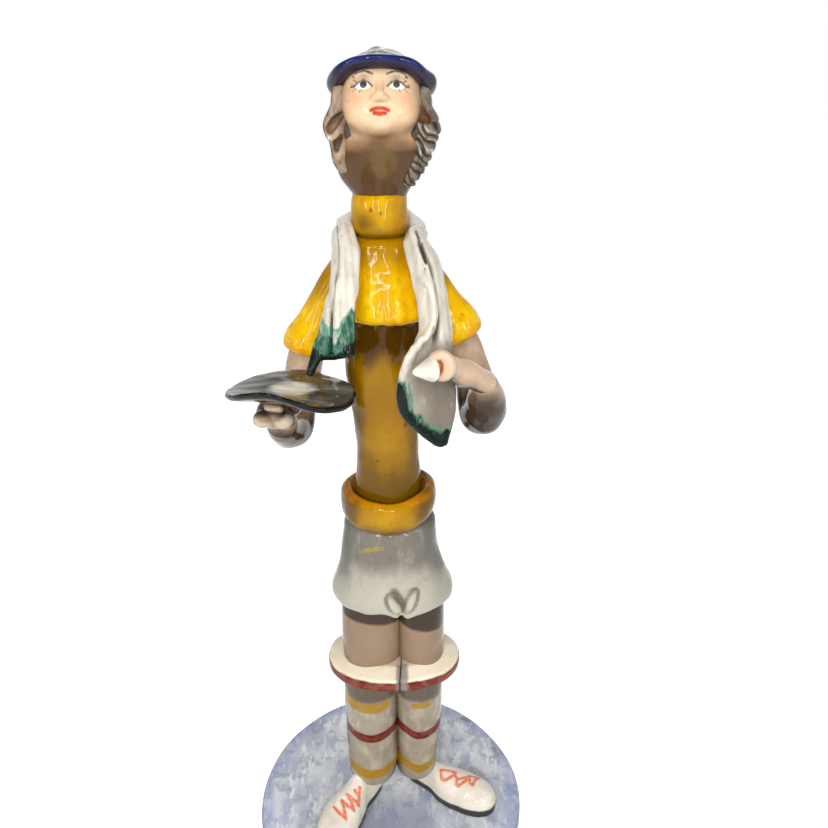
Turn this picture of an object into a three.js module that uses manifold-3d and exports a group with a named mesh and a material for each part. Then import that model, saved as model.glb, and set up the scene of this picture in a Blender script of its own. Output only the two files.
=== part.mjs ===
// Hand-built ceramic figurine: a figure in a roll-neck sweater and shorts stands on a
// round slab, looks up from under a small cap, holds a shallow dish in the right hand
// and a small cone in the left, with a scarf over the shoulders.
// Millimetres, +Z up, the figure faces -Y, the origin is the centre of the slab's underside.

import * as THREE from 'three';
import { mergeVertices } from 'three/addons/utils/BufferGeometryUtils.js';
import Module from 'manifold-3d';

// Clay and slip
const JOIN = 0.3;
const FORM_SIDES = 18;
const LIMB_SIDES = 10;
const FINE_SIDES = 6;
const SMOOTHING = 2;
const FINE_SMOOTHING = 1;

// Slab under the feet
const BASE_RADIUS = 55;
const BASE_THICKNESS = 10;
const BASE_EDGE_ROUND = 2.5;
const BASE_FOOT_CHAMFER = 1;
const BASE_SIDES = 48;

// Shoes: heel point on the slab, direction of the toe, one last for both
const SHOE_LENGTH = 39;
const SHOE_HEIGHT = 15.5;
const SHOE_TOE_HEIGHT = 11;
const SHOE_HEEL_WIDTH = 10.6;
const SHOE_TOE_WIDTH = 17.4;
const RIGHT_HEEL = [-4.6, 3.6];
const RIGHT_TOE_OUT = 33;
const LEFT_HEEL = [7, 2.4];
const LEFT_TOE_OUT = 70;
const SHOE_LEVELS = [0, 0.3, 0.6, 0.82, 0.95];

// Heights of the pieces stacked on the shoes
const SOCK_LENGTH = 58.5;
const SOCK_OVERLAP = 3.5;
const THIGH_LENGTH = 39;
const SHORTS_ABOVE_THIGH = 27;
const SHORTS_SKIRT = 9.3;
const TRUNK_LENGTH = 73;
const CHEST_HEIGHT = 25.5;
const COLLAR_HEIGHT = 14;
const NECK_LENGTH = 28;

// Legs, each row: share of the length, x, y, half width, half depth
const RIGHT_SOCK = [
  [0, -7.4, -0.6, 8.2, 7.8],
  [0.06, -7.2, -0.6, 9.6, 8.8],
  [0.2, -6.9, -0.6, 10.3, 9.4],
  [0.42, -6.9, -0.8, 10.5, 9.8],
  [0.7, -7, -1, 10.6, 10],
  [1, -6.9, -1, 10.8, 9.8],
];
const LEFT_SOCK = [
  [0, 10.2, 2, 6.8, 7.4],
  [0.06, 10.2, 1.8, 7.9, 8.2],
  [0.2, 10.9, 1.4, 8.3, 8.8],
  [0.42, 11.5, 0.4, 9.1, 9.2],
  [0.7, 11.7, -0.6, 9.1, 9.4],
  [1, 11.8, -1, 9.4, 9.4],
];
const RIGHT_THIGH = [
  [0, -6.2, -1, 11.2, 10],
  [0.5, -6, -1, 11.2, 10.2],
  [1, -5.6, -1, 10.8, 9.8],
];
const LEFT_THIGH = [
  [0, 12.5, -0.6, 8.6, 9.6],
  [0.5, 12.4, -0.6, 8.6, 9.8],
  [1, 12.3, -0.6, 8.5, 9.4],
];

// Turned-down sock tops: one flat flange round both knees, parted between the legs.
// Each row of its outline: rise from the knee, how far in from the rim
const CUFF_CENTRE = [2, -0.8];
const CUFF_HALF = [25.2, 16.6];
const CUFF_OUTLINE = [[-5.2, 5.2], [-4.2, 1.6], [-2.2, 0.2], [0.4, 0], [2.4, 0.2], [4.2, 1.8], [5.2, 5]];
const CUFF_PARTING = 5.4;

// Shorts, each row: share of the whole height, x, y, half width, half depth
const SHORTS_WALL = 3.3;
const SHORTS_ROWS = [
  [0, 1.9, -0.5, 19.2, 14.4],
  [0.05, 1.9, -0.5, 21.4, 16.2],
  [0.14, 1.9, -0.5, 22, 16.8],
  [0.22, 1.8, -0.5, 21.5, 16.3],
  [0.36, 1.5, -0.5, 19.6, 15],
  [0.56, 1.2, -0.4, 17.7, 14],
  [0.78, 1.2, 0, 16.6, 13.4],
  [1, 1.2, 0, 16, 12.8],
];

// Sweater: hem roll, trunk, chest and collar
const HEM_ROLL_SHAPE = [[-1, 0.9], [2, 0.99], [6.7, 1], [9.5, 0.97], [12.5, 0.88]];
const HEM_ROLL_OUT = 16.7;
const HEM_ROLL_BACK = 15.4;
const TRUNK_SHAPE = [
  [0, 1, -0.4, 12.4, 10.8],
  [0.16, 0.9, -0.2, 11.3, 10],
  [0.36, 0.8, 0, 10.4, 9.4],
  [0.58, 0.2, 0, 11, 9.6],
  [0.8, 0.1, -0.4, 12.6, 10.6],
  [1, 0.8, -0.8, 13.4, 11.2],
];
const CHEST_SHAPE = [
  [0, 1.4, -1.4, 12.8, 11.6],
  [0.1, 1.5, -1.9, 15, 13.8],
  [0.22, 1.5, -1.7, 15.3, 13.5],
  [0.5, 1.2, -0.8, 15, 11.2],
  [0.75, 0.6, 0, 14, 9.4],
  [0.92, 0.2, 0.2, 11.6, 8.4],
  [1, 0, 0.2, 9.2, 7.6],
];
const COLLAR_SHAPE = [
  [0, 0, -0.6, 7.8, 8.2],
  [0.22, -0.3, -0.9, 8.7, 9.2],
  [0.6, -0.4, -1, 8.7, 9.2],
  [0.88, -0.3, -0.8, 8.5, 8.9],
  [1, -0.2, -0.6, 7.8, 8.2],
];

// Sleeves: cones from the shoulder to a flared hem, rows: x out from the body axis, y,
// drop below the shoulder line, radius. The hem is a place on its plane and the way it faces
const SLEEVE_MOUTH_DEPTH = 2.8;
const SLEEVE_WALL = 2.1;
const RIGHT_SLEEVE = [
  [-10.5, 0, 9, 4.2],
  [-14.6, -0.5, 15.5, 4.7],
  [-18, -1.2, 22, 5.1],
  [-20.8, -1.8, 28, 6.3],
  [-22.6, -2.2, 32.6, 8.2],
];
const RIGHT_SLEEVE_HEM = { place: [-23.4, -2.4, 35], facing: [-0.2, -0.05, -0.98] };
const LEFT_SLEEVE = [
  [11, 0, 9, 4.2],
  [14.6, -0.5, 14, 4.8],
  [17.8, -1, 19, 5.2],
  [20.6, -1.8, 23.6, 6.5],
  [22.6, -2.2, 28, 8.3],
];
const LEFT_SLEEVE_HEM = { place: [23.6, -2.4, 31], facing: [0.42, -0.05, -0.9] };

// Arms, rows: x, y, drop below the shoulder line, radius
const RIGHT_ARM = [
  [-19, -1, 23, 4.6],
  [-24.4, -1.6, 39, 5.6],
  [-27.4, -2.4, 52, 5.8],
  [-28.8, -6.5, 61.8, 6.9],
  [-29.4, -14, 59.2, 6],
  [-30.2, -21, 53.5, 4.8],
];
const LEFT_ARM = [
  [19.4, -1, 21, 4.6],
  [25.8, -1.6, 36, 5.2],
  [29.4, -2.6, 48, 6.2],
  [31.6, -5.5, 56.8, 7.3],
  [32.2, -12, 50.4, 6.4],
  [31.8, -20, 41.5, 5.2],
];

// Right hand, a fist under the dish. Eggs: x, y, drop below the shoulder line, three radii
const FIST_EGGS = [
  [-30.2, -29.5, 45.3, 5.6, 7.2, 4.4],
  [-29.4, -28, 41.6, 4.2, 5, 4.4],
  [-33, -35.2, 46, 2.9, 2.7, 2.6],
  [-27.5, -35.5, 46.2, 2.8, 2.7, 2.5],
];
const FIST_WRIST = [
  [-30.2, -20, 52.5, 4.4],
  [-30.4, -26, 47.5, 4.6],
];
const FIST_FINGERTIP = [
  [-31.4, -35.6, 41.6, 1.5],
  [-27.6, -36.2, 41.8, 1.5],
];
const FIST_THUMB = [
  [-26, -27, 46, 2.4],
  [-24.6, -31, 43.4, 2],
  [-25.6, -33.6, 41, 1.6],
];

// Left hand, rows: x, y, drop below the shoulder line, radius, and the pinched fingertips
const LEFT_PALM = [
  [31, -22.4, 39, 4.9],
  [26.6, -26.8, 35.6, 4.4],
  [23.6, -29.4, 33.2, 3.9],
  [20.8, -32, 31.2, 3.7],
  [18, -35.4, 28.4, 4],
];
const PINCH_PLACE = [17.4, -37, 28.1];
const PINCH_RADII = [4, 2.2, 4.6];
const CONE_LENGTH = 6.8;
const CONE_RADIUS = 4;
const CONE_TIP = [9.5, -41.4, 28.2];
const CONE_FACING = [-0.85, -0.52, 0.05];

// Dish on the right hand. Its edge is pulled up and down: degrees round it, drop of the edge
const DISH_RADIUS = 18.8;
const DISH_DEPTH_RADIUS = 18;
const DISH_THICKNESS = 2.2;
const DISH_PLACE = [-25, -33];
const DISH_DROP = 37.4;
const DISH_EDGE = [
  [-29, 38.4], [4, 38.9], [52, 40.2], [89, 39], [130, 39], [170, 37], [215, 33.4],
  [237, 31.4], [258, 30.6], [276, 32.2], [300, 36], [331, 38.4], [364, 38.9],
];
const DISH_BEND = 2.3;
const DISH_RINGS = 4;
const DISH_SIDES = 36;
const DISH_EDGE_SHARE = 0.98;

// Scarf: one folded strip over the shoulders, rows: centre x, y, drop below the shoulder line,
// half width as x, y, z, half thickness of the fold
const SCARF_ROWS = [
  [17.7, -27.2, 56.8, 2, 0.5, 0.9, 1.3],
  [15.8, -27.2, 52.3, 4.7, 1.5, 1.5, 1.3],
  [13.7, -26.9, 46.2, 8, 2.3, 1.2, 1.6],
  [13.4, -26.1, 39.5, 9.2, 3.2, -0.4, 2.1],
  [14, -24.8, 31.9, 8.1, 3.4, -1.8, 2.1],
  [15.3, -23.3, 28, 6.4, 2.9, -2.6, 2.8],
  [16.6, -21.5, 23.6, 4.6, 3.1, -1.6, 3.4],
  [16.5, -20, 18.6, 4.3, 3.3, -1, 3.8],
  [15.6, -17, 12.9, 4.2, 3.3, -0.8, 4],
  [13.8, -13.5, 6.1, 4.8, 2.7, -0.2, 3.9],
  [11.2, -8.2, 0.8, 3.9, 2, -1.2, 2.8],
  [9.8, -1.9, -1.6, 3, 0.1, -1.6, 2.3],
  [11.1, 3.9, -0.1, 3.1, 0.3, -3.1, 2.4],
  [7.5, 10, -1.4, 1.1, 2.4, -4.8, 2.6],
  [1.1, 12, -1.6, -0.1, 1.6, -5.2, 2.5],
  [-5.9, 10.8, -1.8, -1, 1.9, -5, 2.5],
  [-11, 4.7, -1.6, -3.1, 1.2, -3.5, 2.5],
  [-11.3, -2.6, -1.6, -3.9, 0.1, -1.9, 2.5],
  [-10.2, -11, 2.5, -5.3, 0.7, -1.1, 3.5],
  [-10.8, -18, 13.1, -5.2, 1.1, 0.3, 3.6],
  [-11.9, -20.4, 18.8, -5.8, 1.1, 0.4, 3.4],
  [-12.8, -22.7, 24.4, -6.3, 0.9, 0.4, 3.2],
  [-13.8, -24.5, 28.6, -6.2, 0.6, -1.2, 2.6],
  [-15.9, -25.3, 31.6, -4.3, -0.3, -3.4, 1.4],
];
const FOLD_FLAT = 0.75;

// Head: thrown back over a short neck, rows of the neck: share of the length, x, y, half sizes
const HEAD_LEAN = 25;
const HEAD_RADII = [12.2, 11.6, 10.8];
const HEAD_SIDE = 1;
const HEAD_FORWARD = 7;
const HEAD_ABOVE_NECK = 8;
const JAW_RADII = [7.8, 5.4, 4.8];
const JAW_FORWARD = 7.4;
const JAW_DROP = 5.8;
const NOSE_RADII = [1.9, 2.1, 2.6];
const NOSE_DROP = 2.4;
const NECK_SHAPE = [
  [0, 0, 0, 6.8, 7],
  [0.32, 0, -0.2, 7.2, 7.4],
  [0.56, -0.4, -1.4, 11, 9.4],
  [0.72, 0, -2.8, 12.2, 10.4],
  [0.86, 0.8, -4.2, 12, 10.6],
  [1, 1, -5.4, 10.6, 9.6],
];

// Cap: a rolled brim tilted back with the head and a low crown
const BRIM_OUT = 15;
const BRIM_BACK = 14.6;
const BRIM_ROLL = 2.6;
const BRIM_ROLL_HEIGHT = 1.7;
const BRIM_TURNS = 8;
const CROWN_RADIUS = 12.2;
const CROWN_HEIGHT = 8.4;
const CAP_RISE = 6;
const CAP_FORWARD = 0.6;

// Hair: a shell over the back of the head
const HAIR_THICKNESS = 2.4;
const HAIR_BACK_SHIFT = 2.6;
const HAIR_DROP = 1;

// Open curls at the right ear, each a turned strip below the one before
const CURL_RADIUS = 2.2;
const CURL_LOOPS = 3;
const CURL_SIZE = 3.2;
const CURL_STEPS = 5;
const CURL_START = 50;
const CURL_SWEEP = 260;
const CURL_WIDE = 0.6;
const CURL_DEEP = 0.5;
const CURL_TOP = [-12.2, 1, -1];
const CURL_PITCH = [0.9, -0.6, -5.1];

// Slanting locks at the left ear, from top to foot, each set off from the one before
const LOCK_RADIUS = 2.2;
const LOCK_COUNT = 5;
const LOCK_TOP = [12.2, 4, -1];
const LOCK_TOP_PITCH = [-0.2, -2, -2.1];
const LOCK_FOOT = [11.6, -2, -6.4];
const LOCK_FOOT_PITCH = [-0.6, -1.6, -2.4];
const LOCK_SWELL = 1.4;

const RAD = Math.PI / 180;

// Levels at which the pieces meet, measured from the top of the slab
const ankle = SHOE_HEIGHT;
const knee = ankle + SOCK_LENGTH;
const crotch = knee + THIGH_LENGTH;
const waist = crotch + SHORTS_ABOVE_THIGH;
const bust = waist + TRUNK_LENGTH;
const shoulder = bust + CHEST_HEIGHT;
const neckFoot = shoulder + JOIN;
const collarTop = neckFoot + COLLAR_HEIGHT;
const skullFoot = neckFoot + NECK_LENGTH;

// Values between rows of numbers, on a Catmull-Rom curve through the rows
function smooth(rows, steps = SMOOTHING) {
  const row = (i) => rows[Math.min(Math.max(i, 0), rows.length - 1)];
  const result = [];
  for (let i = 0; i < rows.length - 1; i += 1) {
    for (let step = 0; step < steps; step += 1) {
      const t = step / steps;
      result.push(rows[i].map((_, k) => {
        const [a, b, c, d] = [row(i - 1)[k], row(i)[k], row(i + 1)[k], row(i + 2)[k]];
        const bend = 2 * a - 5 * b + 4 * c - d;
        const twist = 3 * b - a - 3 * c + d;
        return 0.5 * (2 * b + (c - a) * t + bend * t * t + twist * t * t * t);
      }));
    }
  }
  result.push(rows[rows.length - 1]);
  return result;
}

// A closed body through rings of points: capped at poles, or joined end to end as a tube
function loft(rings, poles) {
  const count = rings[0].length;
  const points = rings.flat();
  const index = [];
  const spans = poles ? rings.length - 1 : rings.length;
  for (let i = 0; i < spans; i += 1) {
    const here = i * count;
    const next = ((i + 1) % rings.length) * count;
    for (let k = 0; k < count; k += 1) {
      const side = (k + 1) % count;
      index.push(here + k, here + side, next + side, here + k, next + side, next + k);
    }
  }
  if (poles) {
    const top = (rings.length - 1) * count;
    for (let k = 0; k < count; k += 1) {
      const side = (k + 1) % count;
      index.push(points.length, side, k, points.length + 1, top + k, top + side);
    }
    points.push(...poles);
  }
  let volume = 0;
  for (let i = 0; i < index.length; i += 3) {
    const [a, b, c] = [points[index[i]], points[index[i + 1]], points[index[i + 2]]];
    volume += a.dot(b.clone().cross(c));
  }
  if (volume < 0) {
    index.reverse();
  }
  const geometry = new THREE.BufferGeometry();
  geometry.setAttribute('position', new THREE.Float32BufferAttribute(points.flatMap((p) => p.toArray()), 3));
  geometry.setIndex(index);
  return geometry;
}

function middle(ring) {
  const sum = ring.reduce((total, point) => total.add(point), new THREE.Vector3());
  return sum.divideScalar(ring.length);
}

function capped(rings) {
  return loft(rings, [middle(rings[0]), middle(rings[rings.length - 1])]);
}

// A level ring
function levelRing(z, x, y, halfWidth, halfDepth, sides = FORM_SIDES) {
  const ring = [];
  for (let k = 0; k < sides; k += 1) {
    const turn = (2 * Math.PI * k) / sides;
    ring.push(new THREE.Vector3(x + halfWidth * Math.cos(turn), y + halfDepth * Math.sin(turn), z));
  }
  return ring;
}

// An upright body from low to high, through rows of share, x, y, half width, half depth
function upright(rows, low, high, grow = 0) {
  const rings = smooth(rows).map(([share, x, y, halfWidth, halfDepth]) => (
    levelRing(low + share * (high - low), x, y, halfWidth + grow, halfDepth + grow)
  ));
  rings.unshift(rings[0].map((point) => new THREE.Vector3(point.x, point.y, point.z - grow)));
  rings.push(rings[rings.length - 1].map((point) => new THREE.Vector3(point.x, point.y, point.z + grow)));
  return capped(grow > 0 ? rings : rings.slice(1, -1));
}

// A round limb with domed ends, through rows of x, y, z, radius
function limb(rows, grow = 0, sides = LIMB_SIDES) {
  const stations = smooth(rows, sides === FINE_SIDES ? FINE_SMOOTHING : SMOOTHING);
  const centres = stations.map(([x, y, z]) => new THREE.Vector3(x, y, z));
  const last = centres.length - 1;
  const rings = [];
  let across = new THREE.Vector3(1, 0, 0);
  const poles = [];
  centres.forEach((centre, i) => {
    const along = centres[Math.min(i + 1, last)].clone().sub(centres[Math.max(i - 1, 0)]).normalize();
    if (i === 0 && Math.abs(along.x) > 0.8) {
      across = new THREE.Vector3(0, 0, 1);
    }
    across.addScaledVector(along, -across.dot(along)).normalize();
    const beside = along.clone().cross(across);
    const radius = stations[i][3] + grow;
    const ring = (turn) => {
      const place = centre.clone().addScaledVector(along, radius * Math.sin(turn));
      return Array.from({ length: sides }, (_, k) => {
        const angle = (2 * Math.PI * k) / sides;
        return place.clone()
          .addScaledVector(across, radius * Math.cos(turn) * Math.cos(angle))
          .addScaledVector(beside, radius * Math.cos(turn) * Math.sin(angle));
      });
    };
    if (i === 0) {
      poles.push(centre.clone().addScaledVector(along, -radius));
      rings.push(ring(-60 * RAD), ring(-30 * RAD));
    }
    rings.push(ring(0));
    if (i === last) {
      rings.push(ring(30 * RAD), ring(60 * RAD));
      poles.push(centre.clone().addScaledVector(along, radius));
    }
  });
  return loft(rings, poles);
}

// Rows given as a drop below the shoulder line, turned into heights
function hang(rows) {
  return rows.map(([x, y, drop, ...rest]) => [x, y, shoulder - drop, ...rest]);
}

// An egg with three radii, leaned back about the x axis
function egg(place, radii, lean = 0, grow = 0, sides = FORM_SIDES) {
  const geometry = new THREE.SphereGeometry(1, sides, sides / 2);
  geometry.scale(radii[0] + grow, radii[1] + grow, radii[2] + grow);
  geometry.rotateX(-lean * RAD);
  geometry.translate(...place);
  return geometry;
}

// Joins and cuts between closed bodies
const wasm = await Module();
wasm.setup();

function solid(geometry) {
  const bare = geometry.clone();
  bare.deleteAttribute('normal');
  bare.deleteAttribute('uv');
  const merged = mergeVertices(bare, 1e-4);
  return new wasm.Manifold(new wasm.Mesh({
    numProp: 3,
    vertProperties: new Float32Array(merged.attributes.position.array),
    triVerts: new Uint32Array(merged.index.array),
  }));
}

function surface(body) {
  const mesh = body.getMesh();
  const geometry = new THREE.BufferGeometry();
  geometry.setAttribute('position', new THREE.BufferAttribute(mesh.vertProperties, 3));
  geometry.setIndex(new THREE.BufferAttribute(mesh.triVerts, 1));
  return geometry;
}

function join(...geometries) {
  return surface(geometries.map(solid).reduce((whole, piece) => whole.add(piece)));
}

// The body less its neighbours; crumbs that a cut leaves beside the body are dropped
function cut(geometry, ...neighbours) {
  const left = neighbours.map(solid).reduce((whole, piece) => whole.subtract(piece), solid(geometry));
  const pieces = left.decompose();
  return surface(pieces.reduce((best, piece) => (piece.volume() > best.volume() ? piece : best)));
}

// Slab
function baseDisc() {
  const profile = [new THREE.Vector2(0, 0), new THREE.Vector2(BASE_RADIUS - BASE_FOOT_CHAMFER, 0)];
  profile.push(new THREE.Vector2(BASE_RADIUS, BASE_FOOT_CHAMFER));
  const edge = BASE_RADIUS - BASE_EDGE_ROUND;
  for (let turn = 0; turn <= 90; turn += 22.5) {
    profile.push(new THREE.Vector2(
      edge + BASE_EDGE_ROUND * Math.cos(turn * RAD),
      BASE_THICKNESS - BASE_EDGE_ROUND + BASE_EDGE_ROUND * Math.sin(turn * RAD),
    ));
  }
  profile.push(new THREE.Vector2(0, BASE_THICKNESS));
  const geometry = new THREE.LatheGeometry(profile, BASE_SIDES);
  geometry.rotateX(Math.PI / 2);
  geometry.translate(0, 0, -BASE_THICKNESS);
  return geometry;
}

// Shoe: a flat sole under a dome that falls from the ankle to the toe
function shoe(heel, toeOut, side, grow = 0) {
  const turn = toeOut * RAD;
  const ahead = [side * Math.sin(turn), -Math.cos(turn)];
  const rings = [];
  for (const rise of SHOE_LEVELS) {
    const shrink = Math.sqrt(1 - rise * rise);
    const ring = [];
    for (let k = 0; k < FORM_SIDES; k += 1) {
      const angle = (2 * Math.PI * k) / FORM_SIDES;
      const share = 0.5 - 0.5 * Math.cos(angle);
      const width = SHOE_HEEL_WIDTH + (SHOE_TOE_WIDTH - SHOE_HEEL_WIDTH) * share;
      const height = SHOE_HEIGHT + (SHOE_TOE_HEIGHT - SHOE_HEIGHT) * share;
      const along = SHOE_LENGTH / 2 - (SHOE_LENGTH / 2 + grow) * shrink * Math.cos(angle);
      const out = (width / 2 + grow) * shrink * Math.sin(angle);
      ring.push(new THREE.Vector3(
        heel[0] + along * ahead[0] - out * ahead[1],
        heel[1] + along * ahead[1] + out * ahead[0],
        JOIN - grow + rise * (height + 2 * grow),
      ));
    }
    rings.push(ring);
  }
  return capped(rings);
}

const rightShoe = (grow) => shoe(RIGHT_HEEL, RIGHT_TOE_OUT, -1, grow);
const leftShoe = (grow) => shoe(LEFT_HEEL, LEFT_TOE_OUT, 1, grow);

// Legs
const rightSock = (grow) => upright(RIGHT_SOCK, ankle - SOCK_OVERLAP, knee, grow);
const leftSock = (grow) => upright(LEFT_SOCK, ankle - SOCK_OVERLAP, knee, grow);
const rightThigh = (grow) => upright(RIGHT_THIGH, knee + JOIN, crotch, grow);
const leftThigh = (grow) => upright(LEFT_THIGH, knee + JOIN, crotch, grow);

// One half of the flange round the knees, on the side given
function cuff(side) {
  const [wide, deep] = CUFF_HALF;
  const rings = CUFF_OUTLINE.map(([rise, inset]) => (
    levelRing(knee + rise, ...CUFF_CENTRE, wide - inset, deep - inset, 2 * FORM_SIDES)
  ));
  const other = new THREE.BoxGeometry(4 * wide, 4 * deep, 4 * deep);
  other.translate(CUFF_PARTING - side * (2 * wide - JOIN / 2), 0, knee);
  return cut(capped(rings), other, rightSock(JOIN), leftSock(JOIN), rightThigh(JOIN), leftThigh(JOIN));
}

// Shorts: a bell over the thighs with its hem rolled under
function shorts() {
  const low = crotch - SHORTS_SKIRT;
  const rings = SHORTS_ROWS.map(([share, ...row]) => levelRing(low + share * (waist - low), ...row));
  const [, hemX, hemY, hemWide, hemDeep] = SHORTS_ROWS[0];
  const inside = [hemX, hemY, hemWide - SHORTS_WALL, hemDeep - SHORTS_WALL];
  const hollow = capped([levelRing(low - SHORTS_SKIRT, ...inside), levelRing(crotch + JOIN, ...inside)]);
  return cut(capped(rings), hollow);
}

// Sweater
const trunk = (grow) => upright(TRUNK_SHAPE, waist + JOIN, bust, grow);
const chest = (grow) => upright(CHEST_SHAPE, bust + JOIN, shoulder, grow);
const neck = (grow) => upright(NECK_SHAPE, neckFoot, skullFoot, grow);
const collar = (grow) => upright(COLLAR_SHAPE, neckFoot, collarTop, grow);

function sweaterHem() {
  const [, x, y] = TRUNK_SHAPE[0];
  return capped(HEM_ROLL_SHAPE.map(([rise, share]) => (
    levelRing(waist + rise, x, y, HEM_ROLL_OUT * share, HEM_ROLL_BACK * share)
  )));
}

// Sleeves and arms
const rightArm = (grow) => limb(hang(RIGHT_ARM), grow);
const leftArm = (grow) => limb(hang(LEFT_ARM), grow);

function sleeve(rows, hem, arm) {
  const hung = hang(rows);
  const [x, y, drop] = hem.place;
  const radius = hung[hung.length - 1][3];
  const facing = new THREE.Quaternion().setFromUnitVectors(
    new THREE.Vector3(0, 1, 0), new THREE.Vector3(...hem.facing).normalize(),
  );
  const mouth = new THREE.CylinderGeometry(2 * radius, 2 * radius, 2 * radius, FORM_SIDES);
  mouth.translate(0, radius, 0);
  const hollow = new THREE.CylinderGeometry(
    radius - SLEEVE_WALL, radius - 1.5 * SLEEVE_WALL, 2 * SLEEVE_MOUTH_DEPTH, FORM_SIDES,
  );
  for (const tool of [mouth, hollow]) {
    tool.applyQuaternion(facing);
    tool.translate(x, y, shoulder - drop);
  }
  return cut(limb(hung), mouth, hollow, arm(JOIN), chest(JOIN));
}

// Right hand under the dish
const dishEdge = smooth(DISH_EDGE, 4);

function dishRise(turn) {
  const angle = turn / RAD;
  const after = dishEdge.findIndex(([mark]) => mark > angle);
  const [[from, drop], [to, nextDrop]] = [dishEdge[after - 1], dishEdge[after]];
  return DISH_DROP - drop - ((nextDrop - drop) * (angle - from)) / (to - from);
}

function dishShape(grow = 0) {
  const half = DISH_THICKNESS / 2 + grow;
  const point = (share, turn, level) => new THREE.Vector3(
    DISH_PLACE[0] + (DISH_RADIUS + grow) * share * Math.cos(turn),
    DISH_PLACE[1] + (DISH_DEPTH_RADIUS + grow) * share * Math.sin(turn),
    shoulder - DISH_DROP + dishRise(turn) * share ** DISH_BEND + level,
  );
  const rings = [];
  const ring = (share, level) => (
    Array.from({ length: DISH_SIDES }, (_, k) => point(share, (2 * Math.PI * k) / DISH_SIDES, level))
  );
  for (let k = 1; k < DISH_RINGS; k += 1) {
    rings.push(ring(k / DISH_RINGS, -half));
  }
  rings.push(ring(DISH_EDGE_SHARE, -half), ring(1, 0), ring(DISH_EDGE_SHARE, half));
  for (let k = DISH_RINGS - 1; k > 0; k -= 1) {
    rings.push(ring(k / DISH_RINGS, half));
  }
  return loft(rings, [point(0, 0, -half), point(0, 0, half)]);
}

function rightHand() {
  const eggs = FIST_EGGS.map(([x, y, drop, ...radii]) => (
    egg([x, y, shoulder - drop], radii, 0, 0, LIMB_SIDES)
  ));
  const fingers = [FIST_FINGERTIP, FIST_THUMB].map((rows) => limb(hang(rows), 0, FINE_SIDES));
  return cut(join(...eggs, limb(hang(FIST_WRIST)), ...fingers), rightArm(JOIN), dishShape(JOIN));
}

// Left hand pinching a small cone
function leftHandShape(grow = 0) {
  const [x, y, drop] = PINCH_PLACE;
  return join(limb(hang(LEFT_PALM), grow), egg([x, y, shoulder - drop], PINCH_RADII, 0, grow, LIMB_SIDES));
}

function heldCone() {
  const [x, y, drop] = CONE_TIP;
  const along = new THREE.Vector3(...CONE_FACING).normalize();
  const cone = new THREE.ConeGeometry(CONE_RADIUS, CONE_LENGTH, LIMB_SIDES);
  cone.translate(0, -CONE_LENGTH / 2, 0);
  cone.applyQuaternion(new THREE.Quaternion().setFromUnitVectors(new THREE.Vector3(0, 1, 0), along));
  cone.translate(x, y, shoulder - drop);
  return cut(cone, leftHandShape(JOIN));
}

// Scarf
function scarf() {
  const rows = smooth(SCARF_ROWS, 2);
  const centres = rows.map(([x, y, drop]) => new THREE.Vector3(x, y, shoulder - drop));
  const last = centres.length - 1;
  const rings = centres.map((centre, i) => {
    const along = centres[Math.min(i + 1, last)].clone().sub(centres[Math.max(i - 1, 0)]);
    const half = new THREE.Vector3(...rows[i].slice(3, 6));
    const thick = along.clone().cross(half).normalize().multiplyScalar(rows[i][6]);
    const corner = (wide, deep) => centre.clone().addScaledVector(half, wide).addScaledVector(thick, deep);
    return [
      corner(1, 0), corner(FOLD_FLAT, 1), corner(-FOLD_FLAT, 1),
      corner(-1, 0), corner(-FOLD_FLAT, -1), corner(FOLD_FLAT, -1),
    ];
  });
  const neighbours = [
    chest(JOIN), trunk(JOIN), collar(JOIN), dishShape(JOIN), leftHandShape(JOIN), leftArm(JOIN),
  ];
  const sleeves = [RIGHT_SLEEVE, LEFT_SLEEVE].map((sleeveRows) => limb(hang(sleeveRows), JOIN));
  return cut(capped(rings), ...neighbours, ...sleeves);
}

// Head with its neck, and the cap and hair set on it
const lean = HEAD_LEAN * RAD;
const headPlace = [HEAD_SIDE, -HEAD_FORWARD, skullFoot + HEAD_ABOVE_NECK];

// A point of the head's own frame, forward and up from its centre, leaned back
function onHead(x, forward, up) {
  return [
    headPlace[0] + x,
    headPlace[1] - forward * Math.cos(lean) + up * Math.sin(lean),
    headPlace[2] + forward * Math.sin(lean) + up * Math.cos(lean),
  ];
}

function head(grow = 0) {
  return join(
    egg(headPlace, HEAD_RADII, HEAD_LEAN, grow),
    egg(onHead(0, JAW_FORWARD, -JAW_DROP), JAW_RADII, HEAD_LEAN, grow, LIMB_SIDES),
    egg(onHead(0, HEAD_RADII[1], -NOSE_DROP), NOSE_RADII, HEAD_LEAN, grow, FINE_SIDES),
    neck(grow),
  );
}

// Shapes made upright on the head's own axis, then leaned back with it
function leanBack(geometry, forward, up) {
  geometry.rotateX(-lean);
  geometry.translate(...onHead(0, forward, up));
  return geometry;
}

function capBrim(grow = 0) {
  const wide = BRIM_OUT - BRIM_ROLL;
  const deep = BRIM_BACK - BRIM_ROLL;
  const rings = [];
  for (let k = 0; k < BRIM_TURNS; k += 1) {
    const turn = (2 * Math.PI * k) / BRIM_TURNS;
    const reach = (BRIM_ROLL + grow) * Math.cos(turn);
    rings.push(levelRing((BRIM_ROLL_HEIGHT + grow) * Math.sin(turn), 0, 0, wide + reach, deep + reach));
  }
  return leanBack(loft(rings), CAP_FORWARD, CAP_RISE);
}

function capCrown(grow = 0) {
  const rings = [];
  for (const turn of [0, 22.5, 45, 67.5]) {
    const reach = (CROWN_RADIUS + grow) * Math.cos(turn * RAD);
    rings.push(levelRing((CROWN_HEIGHT + grow) * Math.sin(turn * RAD), 0, 0, reach, reach));
  }
  const poles = [middle(rings[0]), new THREE.Vector3(0, 0, CROWN_HEIGHT + grow)];
  return leanBack(loft(rings, poles), CAP_FORWARD, CAP_RISE);
}

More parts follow.
